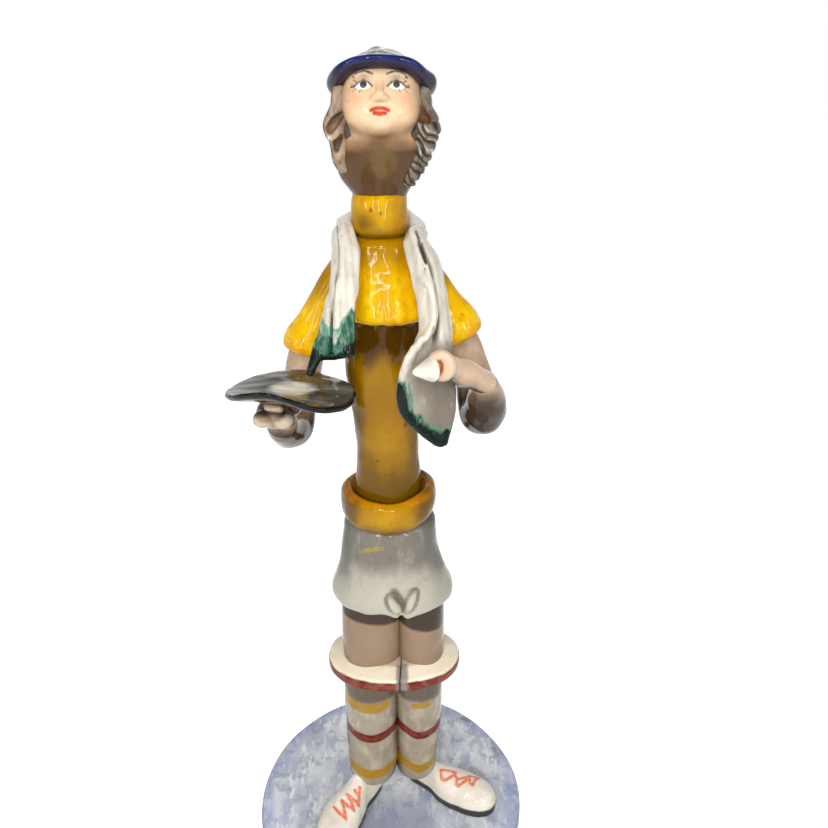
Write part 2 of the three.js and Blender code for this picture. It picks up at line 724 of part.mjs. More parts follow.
// The back of the head's hair, a half egg behind the ears
function hairBulk(grow = 0) {
  const radii = HEAD_RADII.map((radius) => radius + HAIR_THICKNESS);
  const whole = egg(onHead(0, -HAIR_BACK_SHIFT, -HAIR_DROP), radii, HEAD_LEAN, grow, LIMB_SIDES + 2);
  const face = new THREE.BoxGeometry(6 * radii[0], 3 * radii[0], 6 * radii[0]);
  face.translate(0, -1.5 * radii[0] - grow, 0);
  return cut(whole, leanBack(face, 0, 0));
}

// A place moved by a pitch, a number of times
function stepped(place, pitch, times) {
  return place.map((value, i) => value + times * pitch[i]);
}

function rightCurls() {
  const loops = [];
  for (let loop = 0; loop < CURL_LOOPS; loop += 1) {
    const centre = onHead(...stepped(CURL_TOP, CURL_PITCH, loop));
    const rows = [];
    for (let step = 0; step <= CURL_STEPS; step += 1) {
      const turn = (CURL_START + (CURL_SWEEP * step) / CURL_STEPS) * RAD;
      rows.push([
        centre[0] + CURL_WIDE * CURL_SIZE * Math.cos(turn),
        centre[1] + CURL_DEEP * CURL_SIZE * Math.cos(turn),
        centre[2] + CURL_SIZE * Math.sin(turn),
        CURL_RADIUS,
      ]);
    }
    loops.push(limb(rows, 0, FINE_SIDES));
  }
  return join(...loops);
}

function leftLocks() {
  const locks = [];
  for (let lock = 0; lock < LOCK_COUNT; lock += 1) {
    const top = onHead(...stepped(LOCK_TOP, LOCK_TOP_PITCH, lock));
    const foot = onHead(...stepped(LOCK_FOOT, LOCK_FOOT_PITCH, lock));
    const bend = top.map((value, i) => (value + foot[i]) / 2 + (i === 0 ? LOCK_SWELL : 0));
    locks.push(limb([top, bend, foot].map((row) => [...row, LOCK_RADIUS]), 0, FINE_SIDES));
  }
  return join(...locks);
}

// The figurine
const group = new THREE.Group();
const figure = new THREE.Group();
figure.position.z = BASE_THICKNESS;
group.add(figure);

const SKIN = 0xe3b894;
const YELLOW = 0xe8a80c;
const WHITE = 0xe6e4dc;

function add(name, geometry, color, roughness = 0.12) {
  const mesh = new THREE.Mesh(geometry, new THREE.MeshStandardMaterial({ color, roughness, metalness: 0 }));
  mesh.name = name;
  figure.add(mesh);
}

add('base_disc', baseDisc(), 0xa9b2cf);
add('right_shoe', rightShoe(0), WHITE);
add('left_shoe', leftShoe(0), WHITE);
add('right_sock', cut(rightSock(0), rightShoe(JOIN)), WHITE);
add('left_sock', cut(leftSock(0), leftShoe(JOIN), rightSock(JOIN), rightShoe(JOIN)), WHITE);
add('right_thigh', rightThigh(0), SKIN);
add('left_thigh', cut(leftThigh(0), rightThigh(JOIN)), SKIN);
add('right_sock_cuff', cuff(-1), 0xe9dcc6);
add('left_sock_cuff', cuff(1), 0xe9dcc6);
add('shorts', cut(shorts(), rightThigh(JOIN), leftThigh(JOIN)), WHITE);
add('sweater_hem', cut(sweaterHem(), trunk(JOIN), shorts()), YELLOW);
add('sweater_trunk', trunk(0), YELLOW);
add('sweater_chest', chest(0), YELLOW);
add('turtleneck_collar', cut(collar(0), neck(JOIN)), YELLOW);
add('right_sleeve', sleeve(RIGHT_SLEEVE, RIGHT_SLEEVE_HEM, rightArm), YELLOW);
add('left_sleeve', sleeve(LEFT_SLEEVE, LEFT_SLEEVE_HEM, leftArm), YELLOW);
add('right_arm', cut(rightArm(0), chest(JOIN)), SKIN);
add('left_arm', cut(leftArm(0), chest(JOIN)), SKIN);
add('right_hand', rightHand(), SKIN);
add('left_hand', cut(leftHandShape(), leftArm(JOIN)), SKIN);
add('dish', dishShape(0), 0x4a4a48);
add('held_cone', heldCone(), WHITE);
add('scarf', scarf(), WHITE);
add('head', head(0), SKIN);
add('hair_back', cut(hairBulk(0), head(JOIN), capBrim(JOIN), capCrown(JOIN)), 0x8a7f74);
const hairSeat = [head(JOIN), hairBulk(JOIN), capBrim(JOIN), collar(JOIN)];
add('hair_right_curls', cut(rightCurls(), ...hairSeat), 0xb99a80);
add('hair_left_locks', cut(leftLocks(), ...hairSeat), 0x8f8a84);
add('cap_crown', cut(capCrown(0), head(JOIN), capBrim(JOIN)), 0x6f6f66);
add('cap_brim', cut(capBrim(0), head(JOIN)), 0x2f3f8f);

export default group;
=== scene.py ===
"""Hand-built ceramic figurine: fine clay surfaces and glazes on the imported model."""

import math

import bpy
import numpy as np
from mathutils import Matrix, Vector
from mathutils.bvhtree import BVHTree


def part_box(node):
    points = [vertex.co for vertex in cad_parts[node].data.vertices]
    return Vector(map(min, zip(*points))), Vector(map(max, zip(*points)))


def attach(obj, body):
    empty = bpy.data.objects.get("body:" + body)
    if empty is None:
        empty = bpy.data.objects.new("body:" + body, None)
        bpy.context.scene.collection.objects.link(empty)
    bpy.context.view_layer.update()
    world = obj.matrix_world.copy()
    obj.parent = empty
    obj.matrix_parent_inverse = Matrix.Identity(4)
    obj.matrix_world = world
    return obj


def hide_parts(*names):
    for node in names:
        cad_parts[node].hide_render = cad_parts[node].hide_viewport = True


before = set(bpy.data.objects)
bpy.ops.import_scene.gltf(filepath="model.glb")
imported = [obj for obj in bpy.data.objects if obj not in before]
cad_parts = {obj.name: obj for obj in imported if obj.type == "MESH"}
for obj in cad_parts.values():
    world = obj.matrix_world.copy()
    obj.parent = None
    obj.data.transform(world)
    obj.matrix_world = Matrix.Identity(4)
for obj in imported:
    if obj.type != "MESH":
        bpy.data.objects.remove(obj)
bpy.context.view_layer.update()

# Sizes below are in millimetres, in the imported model's frame
MM = 0.001
COARSE = 1
FORM_STEP = 0.55 * COARSE
BODY_STEP = 0.85 * FORM_STEP
FINE_STEP = 0.38 * COARSE
HEAD_STEP = 0.3 * COARSE
SCARF_STEP = 0.46 * COARSE
# A mark this far off paints nothing
NO_MARK = 50
SIDES = ("right", "left")


def foot_of(node):
    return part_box(node)[0].z / MM


def top_of(node):
    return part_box(node)[1].z / MM


SLAB = top_of("base_disc")
SLAB_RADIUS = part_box("base_disc")[1].x / MM
ANKLE = foot_of("right_sock")
KNEE = top_of("right_sock")
CROTCH = top_of("right_thigh")
WAIST = top_of("shorts")
BUST = top_of("sweater_trunk")
SHOULDER = top_of("sweater_chest")
NECK = foot_of("turtleneck_collar")
COLLAR = top_of("turtleneck_collar")


# Curves through rows of numbers

def through(rows, steps=12):
    """Catmull-Rom points through rows."""
    rows = np.array(rows, float)
    ends = np.vstack([2 * rows[0] - rows[1], rows, 2 * rows[-1] - rows[-2]])
    t = np.linspace(0, 1, steps, endpoint=False)[:, None]
    spans = []
    for a, b, c, d in zip(ends[:-3], ends[1:-2], ends[2:-1], ends[3:]):
        square = 2 * a - 5 * b + 4 * c - d
        cube = 3 * b - a - 3 * c + d
        spans.append(0.5 * (2 * b + (c - a) * t + square * t**2 + cube * t**3))
    return np.vstack(spans + [rows[-1:]])


def step_up(value, low, high):
    """0 below low, 1 above high, smooth between."""
    t = np.clip((value - low) / (high - low), 0, 1)
    return t * t * (3 - 2 * t)


def bump_at(value, centre, width):
    return np.exp(-(((value - centre) / width) ** 2))


def lumps(p, size, seed):
    """Smooth unevenness of about -1 to 1, as a hand leaves in clay."""
    random = np.random.default_rng(seed)
    total = np.zeros(len(p))
    for _ in range(6):
        way = random.normal(size=3)
        way *= random.uniform(0.7, 1.5) / np.linalg.norm(way)
        total += np.sin(p @ way * (2 * np.pi / size) + random.uniform(0, 6.3))
    return total / 3


def stroke(a, b, points):
    """Distance in a plane from the points (a, b) to a line through points."""
    best = np.full(len(a), np.inf)
    points = np.array(points, float)
    for (a0, b0), (a1, b1) in zip(points[:-1], points[1:]):
        da, db = a1 - a0, b1 - b0
        t = np.clip(((a - a0) * da + (b - b0) * db) / (da * da + db * db + 1e-9), 0, 1)
        best = np.minimum(best, np.hypot(a - a0 - t * da, b - b0 - t * db))
    return best


def nearest(*distances):
    return np.minimum.reduce(distances)


# Clay fields: negative inside, about the distance in millimetres

def blend(a, b, width=1):
    t = np.clip(0.5 + 0.5 * (b - a) / width, 0, 1)
    return b * (1 - t) + a * t - width * t * (1 - t)


def join(width, *fields):
    whole = fields[0]
    for field in fields[1:]:
        whole = blend(whole, field, width)
    return whole


def carve(a, b, width=1):
    return -blend(-a, b, width)


def both(a, b, soften=1):
    """The clay inside both, with its edge rounded."""
    u, v = np.maximum(a + soften, 0), np.maximum(b + soften, 0)
    return np.minimum(-soften, np.maximum(a, b)) + np.hypot(u, v)


def oval(x, y, wide, deep, power=2):
    k = (abs(x / wide) ** power + abs(y / deep) ** power) ** (1 / power) + 1e-6
    return (k - 1) * k / (np.hypot(x / wide**2, y / deep**2) + 1e-9)


def egg(p, centre, radii):
    q = p - np.array(centre)
    radii = np.array(radii, float)
    k = np.linalg.norm(q / radii, axis=1) + 1e-6
    return (k - 1) * k / (np.linalg.norm(q / radii**2, axis=1) + 1e-9)


def upright(p, rows, low, high, soften=1.5, power=2):
    """Rows of share of the height, x, y, half width, half depth."""
    dense = through(rows)
    share = (p[:, 2] - low) / (high - low)
    x, y, wide, deep = (np.interp(share, dense[:, 0], dense[:, k]) for k in (1, 2, 3, 4))
    side = oval(p[:, 0] - x, p[:, 1] - y, wide, deep, power)
    return both(side, np.maximum(low - p[:, 2], p[:, 2] - high), soften)


def limb(p, rows, steps=5):
    """A round limb through rows of x, y, z, radius."""
    best = np.full(len(p), np.inf)
    dense = through(rows, steps)
    for a, b in zip(dense[:-1], dense[1:]):
        way = b[:3] - a[:3]
        t = np.clip((p - a[:3]) @ way / (way @ way), 0, 1)
        reach = np.linalg.norm(p - a[:3] - t[:, None] * way, axis=1)
        best = np.minimum(best, reach - a[3] - (b[3] - a[3]) * t)
    return best


def hang(rows):
    """Rows that give a drop below the shoulder line, with heights instead."""
    return [[x, y, SHOULDER - drop, *rest] for x, y, drop, *rest in rows]


# Surface of a field

def sampled(field, corner, counts, step):
    axes = [corner[k] + step * np.arange(counts[k]) for k in range(3)]
    values = np.empty(counts)
    plane = np.stack(np.meshgrid(axes[1], axes[2], indexing="ij"), -1).reshape(-1, 2)
    block = max(1, 60000 // len(plane))
    for start in range(0, counts[0], block):
        xs = axes[0][start:start + block]
        p = np.empty((len(xs), len(plane), 3))
        p[:, :, 0] = xs[:, None]
        p[:, :, 1:] = plane
        values[start:start + block] = field(p.reshape(-1, 3)).reshape(len(xs), counts[1], counts[2])
    for edge in (0, -1):
        values[edge] = values[:, edge] = values[:, :, edge] = step
    return values


def net(values, corner, step):
    """Points and quads of the zero surface of a sampled field."""
    inside = values < 0
    small = tuple(n - 1 for n in values.shape)
    offsets = [(i, j, k) for i in (0, 1) for j in (0, 1) for k in (0, 1)]
    count = np.zeros(small, np.int8)
    for i, j, k in offsets:
        count += inside[i:small[0] + i, j:small[1] + j, k:small[2] + k]
    active = (count > 0) & (count < 8)
    cells = np.argwhere(active)
    number = np.full(small, -1)
    number[active] = np.arange(len(cells))
    total, hits = np.zeros((len(cells), 3)), np.zeros(len(cells))
    for axis in range(3):
        unit = np.eye(3, dtype=int)[axis]
        for offset in offsets:
            if offset[axis]:
                continue
            start = cells + offset
            a, b = values[tuple(start.T)], values[tuple((start + unit).T)]
            cross = (a < 0) != (b < 0)
            t = np.where(cross, a / np.where(cross, a - b, 1), 0)
            total[cross] += (np.array(offset) + t[:, None] * unit)[cross]
            hits += cross
    points = np.array(corner) + (cells + total / hits[:, None]) * step
    quads = []
    for axis in range(3):
        u, w = np.eye(3, dtype=int)[(axis + 1) % 3], np.eye(3, dtype=int)[(axis + 2) % 3]
        first = inside.take(range(values.shape[axis] - 1), axis)
        second = inside.take(range(1, values.shape[axis]), axis)
        for change, turned in ((first & ~second, False), (second & ~first, True)):
            at = np.argwhere(change)
            quad = np.stack([number[tuple((at - d).T)] for d in (0 * u, u, u + w, w)], 1)
            quads.append(quad[:, ::-1] if turned else quad)
    return points, np.vstack(quads).tolist()


def slope(field, p, reach=0.04):
    g = np.empty_like(p)
    for k in range(3):
        ahead, behind = p.copy(), p.copy()
        ahead[:, k] += reach
        behind[:, k] -= reach
        g[:, k] = (field(ahead) - field(behind)) / (2 * reach)
    return g


def make_mesh(name, points, faces, attributes):
    mesh = bpy.data.meshes.new(name)
    mesh.from_pydata((points * MM).tolist(), [], faces)
    mesh.validate()
    mesh.polygons.foreach_set("use_smooth", [True] * len(mesh.polygons))
    for key, values in attributes.items():
        layer = mesh.attributes.new(key, "FLOAT", "POINT")
        layer.data.foreach_set("value", np.full(len(points), values, np.float32))
    mesh.update()
    return mesh


def add_object(name, data):
    made = bpy.data.objects.new(name, data)
    bpy.context.scene.collection.objects.link(made)
    return made


def place(name, mesh, node, glaze):
    """Adds a mesh, in its glaze, as the piece that stands for its node."""
    piece = add_object(name, mesh)
    mesh.materials.append(GLAZES[glaze].material)
    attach(piece, "root")
    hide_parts(node)


# How far out and in the clay is felt for hollows and edges
OUTWARD = 1.6
INWARD = 1.4
NORMAL_REACH = 0.15
# Most that a point may move at once, as a share of the step
FARTHEST = 0.7


def clay(node, glaze, field, marks=None, step=FORM_STEP, margin=1.5, name=None):
    """A piece whose surface is where its field is zero, in its node's box."""
    low, high = (np.array(corner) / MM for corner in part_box(node))
    low, high = low - margin, high + margin
    counts = tuple(int(n) for n in np.ceil((high - low) / step) + 1)
    points, quads = net(sampled(field, low, counts, step), low, step)
    for _ in range(2):
        g = slope(field, points)
        move = field(points)[:, None] * g / (np.sum(g * g, 1)[:, None] + 1e-3)
        reach = np.linalg.norm(move, axis=1)[:, None] + 1e-9
        points -= move * np.minimum(1, FARTHEST * step / reach)
    normal = slope(field, points, NORMAL_REACH)
    normal /= np.linalg.norm(normal, axis=1)[:, None] + 1e-9
    out = field(points + normal * OUTWARD) / OUTWARD
    inward = -field(points - normal * INWARD) / INWARD
    found = dict.fromkeys(GLAZES[glaze].marks, NO_MARK)
    # hollow rises in concave places, where glazes darken as pooled glaze and painted shade; edge rises on thin
    # ridges
    found.update(hollow=np.clip(1 - out, 0, 1), edge=np.clip(1 - inward, 0, 1))
    if marks:
        found.update(marks(points, normal))
    name = (name or node) + "_clay"
    place(name, make_mesh(name, points, quads, found), node, glaze)


# Glazes

SHINE = 0.17
GLASS_IOR = 1.5
NOISE_SHIFT = 7.3


def linear(colour):
    """Linear values of a colour written as six hexadecimal digits."""
    parts = [int(colour[k:k + 2], 16) / 255 for k in (0, 2, 4)]
    return tuple(c / 12.92 if c <= 0.04045 else ((c + 0.055) / 1.055) ** 2.4 for c in parts) + (1,)


def dial(node, **values):
    """Sets inputs of a node. An underscore stands for the space in an input's name."""
    for key, value in values.items():
        node.inputs[key.replace("_", " ")].default_value = value


def link(output, node, name):
    node.id_data.links.new(output, node.inputs[name])


class Glaze:
    """A glazed clay material, built up in layers of colour over a base."""

    def __init__(self, name, base):
        self.material = bpy.data.materials.new(name + "_glaze")
        self.material.use_nodes = True
        self.tree = self.material.node_tree
        self.shader = self.tree.nodes["Principled BSDF"]
        dial(self.shader, IOR=GLASS_IOR, Specular_IOR_Level=SHINE)
        self.place = self.node("ShaderNodeTexCoord").outputs["Object"]
        self.base = linear(base)
        self.colour = None
        self.height = None
        self.shift = 0
        self.marks = []

    def node(self, kind, **values):
        made = self.tree.nodes.new(kind)
        for key, value in values.items():
            setattr(made, key, value)
        return made

    def noise(self, size, stretch=1, detail=3, turn=0):
        """Noise of about 0 to 1 with features of about size mm.

        A stretch makes them longer, upwards if it is one number and along x, y and z if it is three.
        """
        if isinstance(stretch, (int, float)):
            stretch = (1, 1, stretch)
        mapping = self.node("ShaderNodeMapping")
        self.shift += NOISE_SHIFT
        dial(
            mapping,
            Scale=[1 / (size * MM * s) for s in stretch],
            Rotation=(0, 0, math.radians(turn)),
            Location=(self.shift, 2.1 * self.shift, -self.shift),
        )
        link(self.place, mapping, "Vector")
        made = self.node("ShaderNodeTexNoise")
        dial(made, Scale=1, Detail=detail, Roughness=0.55)
        link(mapping.outputs["Vector"], made, "Vector")
        return made.outputs["Fac"]

    def mark(self, name):
        return self.node("ShaderNodeAttribute", attribute_name=name).outputs["Fac"]

    def maths(self, operation, *values):
        made = self.node("ShaderNodeMath", operation=operation)
        for socket, value in zip(made.inputs, values):
            if isinstance(value, (int, float)):
                socket.default_value = value
            else:
                self.tree.links.new(value, socket)
        return made.outputs[0]

    def between(self, value, low, high, to_low=0, to_high=1):
        made = self.node("ShaderNodeMapRange", interpolation_type="SMOOTHSTEP")
        dial(made, From_Min=low, From_Max=high, To_Min=to_low, To_Max=to_high)
        link(value, made, "Value")
        return made.outputs["Result"]

    def tint(self, factor, colour, strength=1):
        """Lays a colour over what is there, where factor is 1."""
        made = self.node("ShaderNodeMix", data_type="RGBA")
        if strength != 1:
            factor = self.maths("MULTIPLY", factor, strength)
        link(factor, made, "Factor")
        if self.colour is None:
            dial(made, A=self.base)
        else:
            link(self.colour, made, "A")
        dial(made, B=linear(colour))
        self.colour = made.outputs["Result"]

    def cloud(self, colour, strength, low, high, *noise):
        """Brings in a colour as the noise goes from low to high."""
        self.tint(self.between(self.noise(*noise), low, high), colour, strength)

    def painted(self, name, colour, wobble, size, soft, strength, stretch=1, thin=0):
        """Brushed colour where the mark, a distance in mm, is below 0. thin leaves streaks."""
        self.marks.append(name)
        ragged = self.maths("MULTIPLY_ADD", self.noise(size, stretch), 2 * wobble, -wobble)
        distance = self.maths("ADD", self.mark(name), ragged)
        factor = self.between(distance, soft, -soft)
        if thin:
            streak = self.between(self.noise(size * 0.8, stretch), 0.35, 0.6, 1 - thin, 1)
            factor = self.maths("MULTIPLY", factor, streak)
        self.tint(factor, colour, strength)

    def relief(self, height, *noise):
        """Raises the surface by up to height mm where the noise is high."""
        value = self.noise(*noise)
        made = self.node("ShaderNodeBump")
        dial(made, Strength=1, Distance=height * MM)
        link(value, made, "Height")
        if self.height is not None:
            link(self.height, made, "Normal")
        self.height = made.outputs["Normal"]

    def done(self, specks="6b6256", strength=0.5):
        """Fine specks, a slight waviness and an uneven gloss finish every glaze."""
        self.cloud(specks, strength, 0.73, 0.78, 0.9, 1, 1)
        self.relief(0.35, 7, 1, 1)
        self.relief(0.035, 1.6, 1, 2)
        link(self.colour, self.shader, "Base Color")
        link(self.height, self.shader, "Normal")
        link(self.between(self.noise(5), 0.3, 0.7, 0.03, 0.08), self.shader, "Roughness")
        return self


def slab_glaze():
    g = Glaze("slab", "e2e4e8")
    g.cloud("bac1d1", 0.75, 0.42, 0.62, 15, (1, 1.8, 1))
    g.cloud("9ba6c8", 0.5, 0.5, 0.6, 6, (1, 2.2, 1), 5)
    g.cloud("a3a9b4", 0.6, 0.52, 0.62, 4, (1.6, 1, 1), 5, 30)
    g.cloud("eff1f3", 0.85, 0.53, 0.62, 3.4, (1, 2.6, 1), 5)
    g.painted("rim", "8897cb", 3.5, 12, 1.8, 0.5, thin=0.6)
    # Painted shade: the slab's side dark navy
    g.painted("side", "232a40", 0.6, 8, 1.2, 0.9, thin=0.2)
    g.painted("khaki", "8b8676", 2, 3.4, 0.6, 0.75, thin=0.4)
    # Painted shadow: a grey patch between the shoes
    g.painted("between", "8489a0", 4, 6, 5, 0.6)
    g.cloud("f4f5f6", 0.6, 0.66, 0.71, 1.9, (1, 1.8, 1), 4)
    g.cloud("5d6888", 0.5, 0.68, 0.72, 1.2, (1.6, 1, 1), 3)
    g.relief(0.3, 3, (1, 2, 1), 5)
    return g.done("56607c", 0.5)


def cream_glaze(name, base, cloud="cfc6b6"):
    g = Glaze(name, base)
    g.cloud(cloud, 0.6, 0.35, 0.65, 9)
    # Darker in hollows: pooled glaze and painted shade
    g.tint(g.mark("hollow"), "8f8472", 0.6)
    g.tint(g.between(g.mark("edge"), 0.25, 0.8), "f3ecdc", 0.6)
    return g


def shoe_glaze():
    g = cream_glaze("shoe", "f0e8da", "dccfbc")
    # Painted shadow: the shoe's lowest band near black, down to the slab
    g.painted("sole_shade", "1d2124", 0.4, 4, 0.6, 0.96)
    g.painted("lace", "ea6a34", 0.16, 1.2, 0.2, 0.95, thin=0.3)
    g.relief(0.5, 5, 1, 1)
    return g.done()


def sock_glaze():
    g = cream_glaze("sock", "a69b87", "8d826f")
    g.cloud("c0b6a3", 0.6, 0.45, 0.66, 3.6, 2.5)
    # Painted shade on the inner side of each leg
    g.painted("valley_shade", "7a6852", 1, 4, 1.6, 0.75)
    # Painted shade under the cuff and on the sides of the sock
    g.painted("dim_shade", "574a3d", 1.2, 6, 1.8, 0.9)
    g.painted("yellow", "a07a03", 0.7, 3.2, 0.5, 1, thin=0.2)
    g.painted("orange", "b0680a", 0.6, 2.5, 0.7, 0.75)
    g.painted("red", "5c170c", 0.4, 3, 0.4, 1, thin=0.15)
    g.painted("red_core", "8c280e", 0.6, 2.5, 0.5, 0.7, thin=0.4)
    return g.done()


def cuff_glaze():
    g = cream_glaze("cuff", "f6ead2", "ead9bc")
    g.painted("inner", "a0876c", 0.6, 4, 1.3, 0.6)
    g.painted("band", "68170a", 0.45, 4, 0.35, 1, thin=0.08)
    g.painted("band_core", "9c3116", 0.6, 3, 0.5, 0.6, thin=0.5)
    # Painted shade in the parting between the two cuffs
    g.painted("parting_shade", "8d8280", 0.5, 2, 0.7, 0.85)
    return g.done()


def skin_glaze():
    g = Glaze("skin", "dabc9c")
    g.cloud("d2ac8a", 0.6, 0.35, 0.65, 11)
    g.cloud("eed7bc", 0.5, 0.5, 0.7, 4)
    # Darker in hollows: pooled glaze and painted shade
    g.tint(g.mark("hollow"), "7d5c42", 0.7)
    # Painted shade that dims the thighs, arms and hands, most on their undersides
    g.painted("dim_shade", "7c6753", 1.5, 7, 2.6, 0.8)
    g.painted("shade", "33271f", 0.6, 5, 0.8, 0.93)
    # Lighter skin, which on the right hand is a painted highlight on the fingertips and knuckles
    g.painted("pale", "dcc9b0", 0.5, 2.4, 0.7, 0.6)
    g.painted("pinch", "d98e5e", 0.3, 2, 0.4, 0.85)
    return g.done("7a5a44", 0.5)


def shorts_glaze():
    g = Glaze("shorts", "b0aa9b")
    g.cloud("a5a397", 0.7, 0.4, 0.65, 8, 2.4)
    # Painted shade: the top of the shorts darker under the sweater's roll
    g.painted("high", "6c645b", 3.5, 7, 4, 0.85, stretch=1.6)
    g.cloud("c2c0b5", 0.25, 0.5, 0.74, 3.6, 2.4, 5)
    g.cloud("7d786c", 0.35, 0.56, 0.72, 2.4, 1.6, 5)
    # Painted shade on the sides of the shorts
    g.painted("side", "5e5f5a", 1.6, 6, 2.6, 0.75)
    # Darker in hollows: pooled glaze and painted shade
    g.tint(g.mark("hollow"), "6a6558", 0.9)
    g.tint(g.between(g.mark("edge"), 0.3, 0.8), "efece2", 0.7)
    g.painted("low", "bdb8a8", 3.5, 6, 4, 0.7, stretch=1.6)
    # Painted shade in the grooves round the two folds and in the crease between them
    g.painted("fold", "544e42", 0.3, 1.2, 0.8, 0.75)
    g.painted("petal", "c4bca8", 0.4, 1.6, 0.4, 0.6)
    g.painted("smear", "a8972a", 0.7, 1.3, 0.25, 0.85, stretch=(3, 1, 0.6), thin=0.8)
    g.painted("grey", "66645e", 0.6, 1.4, 0.3, 0.8)
    return g.done("66645e", 0.6)


def sweater_glaze():
    g = Glaze("sweater", "f0ba06")
    g.cloud("dea204", 0.7, 0.4, 0.66, 9)
    g.cloud("fdd010", 0.8, 0.5, 0.7, 4.5, 2)
    g.cloud("c88f02", 0.5, 0.54, 0.64, 2.6, 1.8, 5)
    g.tint(g.between(g.mark("edge"), 0.35, 0.9), "e08a0e", 0.5)
    # Darker in hollows: pooled glaze and painted shade
    g.tint(g.between(g.mark("hollow"), 0.15, 0.9), "8a5c06", 0.8)
    # Darker ochre glaze, partly painted shade
    g.painted("ochre_and_shade", "a07000", 4, 10, 5, 0.9)
    # Painted shade, olive brown, on sides, undersides and inside the sleeves
    g.painted("olive_shade", "553c02", 2, 5, 3, 0.85)
    g.painted("orange", "d88212", 1.4, 5, 1.4, 0.5, thin=0.4)
    # Brown glaze and painted shadow under the chest's overhang
    g.painted("brown_and_shadow", "432804", 2.4, 3.6, 4.5, 0.93, stretch=3)
    g.painted("drip", "6e2f0a", 0.5, 1.6, 0.5, 0.85)
    g.relief(0.6, 6, 1.4, 1)
    return g.done("8a4a10", 0.7)


def dish_glaze():
    g = Glaze("dish", "54534c")
    g.cloud("35342f", 0.85, 0.4, 0.66, 7, (2, 1, 1))
    g.cloud("6a6a64", 0.5, 0.55, 0.68, 3, (3, 1, 1), 4, 30)
    g.painted("pale", "86857e", 3, 6, 3, 0.6)
    g.painted("streak", "a9a59a", 2, 3, 1.6, 0.55, stretch=(3.4, 1, 1), thin=0.8)
    g.painted("patch", "eee4cf", 2.2, 2.4, 1.4, 0.97, stretch=(2.4, 1, 1), thin=0.35)
    g.painted("black", "0b0b0c", 0.5, 3, 0.5, 0.97)
    return g.done("101010", 0.6)


def scarf_glaze():
    g = Glaze("scarf", "e6e0d2")
    g.cloud("c8c0af", 0.6, 0.42, 0.72, 3.6, 3)
    g.cloud("a39987", 0.4, 0.55, 0.72, 1.8, 5, 4)
    g.cloud("dcd2c2", 0.6, 0.45, 0.7, 8)
    # Darker in hollows: pooled glaze and painted shade
    g.tint(g.mark("hollow"), "6b6150", 0.95)
    # Painted shade on the inner face of the scarf's lower end
    g.painted("inner", "655c4f", 1.6, 6, 4, 0.9)
    # Painted light: a paler patch within that shade
    g.painted("light", "bdb4a2", 1.2, 6, 3.4, 0.5)
    # Painted shade along a crease of the fold
    g.painted("crease_shade", "5c5448", 0.4, 2, 0.7, 0.6, stretch=3)
    g.painted("green", "3f8a6c", 2.4, 1.8, 0.5, 0.9, stretch=5, thin=0.6)
    g.painted("green_deep", "0e5640", 2.2, 1.4, 0.5, 0.94, stretch=5, thin=0.4)
    g.painted("green_black", "031410", 1.3, 1.8, 0.5, 0.97, stretch=3)
    g.cloud("7d776f", 0.5, 0.66, 0.7, 0.8, 4)
    g.relief(0.22, 2.2, 4)
    return g.done()


def face_glaze():
    g = Glaze("face", "e9c9a4")
    g.cloud("eec297", 0.55, 0.35, 0.65, 8)
    # Painted shade on the jaw, the low face and the forehead
    g.painted("face_shade", "ad845e", 1.5, 6, 4, 0.92)
    # Dark brown under the chin and on the neck: partly darker glaze, partly painted shade
    g.painted("under", "4e361d", 1.2, 5, 2.6, 0.93)
    # Painted reflection of the yellow collar: a lighter olive oval on the neck
    g.painted("throat_reflection", "6f5530", 0.6, 4, 1.3, 0.85)
    g.painted("cheek", "ec9e7e", 0.8, 3, 2.2, 0.5)
    # Painted shade of the brim on the forehead, and grey over the eyelids
    g.painted("grey", "8d7f72", 1.2, 4, 2.5, 0.8)
    g.painted("white", "f2efe8", 0.1, 1, 0.12, 0.95)
    g.painted("iris", "31302f", 0.12, 0.8, 0.1, 0.97)
    g.painted("brow", "3a3631", 0.16, 0.7, 0.14, 0.9, thin=0.3)
    g.painted("lip", "c8381e", 0.14, 0.8, 0.14, 0.95)
    return g.done("8a5a40", 0.5)


def hair_glaze(name, base, light, ink=0.85):
    g = Glaze(name, base)
    g.cloud(light, 0.85, 0.4, 0.62, 3, 2.2)
    g.cloud("2b2825", ink, 0.54, 0.6, 2.2, 3)
    g.painted("pale", "e9e2d4", 0.6, 1.6, 0.4, 0.9, thin=0.6)
    # Dark between the locks' strands, and painted shade on the hair's outward and back faces
    g.painted("dark", "28231c", 0.4, 2, 0.4, 0.92)
    g.painted("recess", "5e3c20", 0.4, 3, 0.6, 0.93)
    # Darker in hollows: pooled glaze and painted shade
    g.tint(g.between(g.mark("hollow"), 0.4, 1), "33241a", 0.6)
    return g.done("2a2622", 0.6)


def crown_glaze():
    g = Glaze("crown", "6d6d64")
    g.cloud("45453f", 0.8, 0.4, 0.6, 3.5)
    g.painted("pale", "8a887f", 1.5, 3, 2, 0.8)
    g.cloud("e6e4dc", 0.6, 0.54, 0.62, 1.6, (2.6, 1, 1), 4, 40)
    g.cloud("161617", 0.85, 0.55, 0.62, 1.4, (2.4, 1, 1), 4, -50)
    return g.done("1d1d1e", 0.7)


def brim_glaze():
    g = Glaze("brim", "1f2c66")
    g.cloud("141d48", 0.85, 0.4, 0.62, 4.5)
    g.painted("pale", "56669f", 0.7, 2.2, 0.8, 0.6, thin=0.6)
    # Painted shade on the brim's underside
    g.painted("under", "352c35", 0.7, 3, 0.9, 0.9)
    return g.done("101224", 0.6)


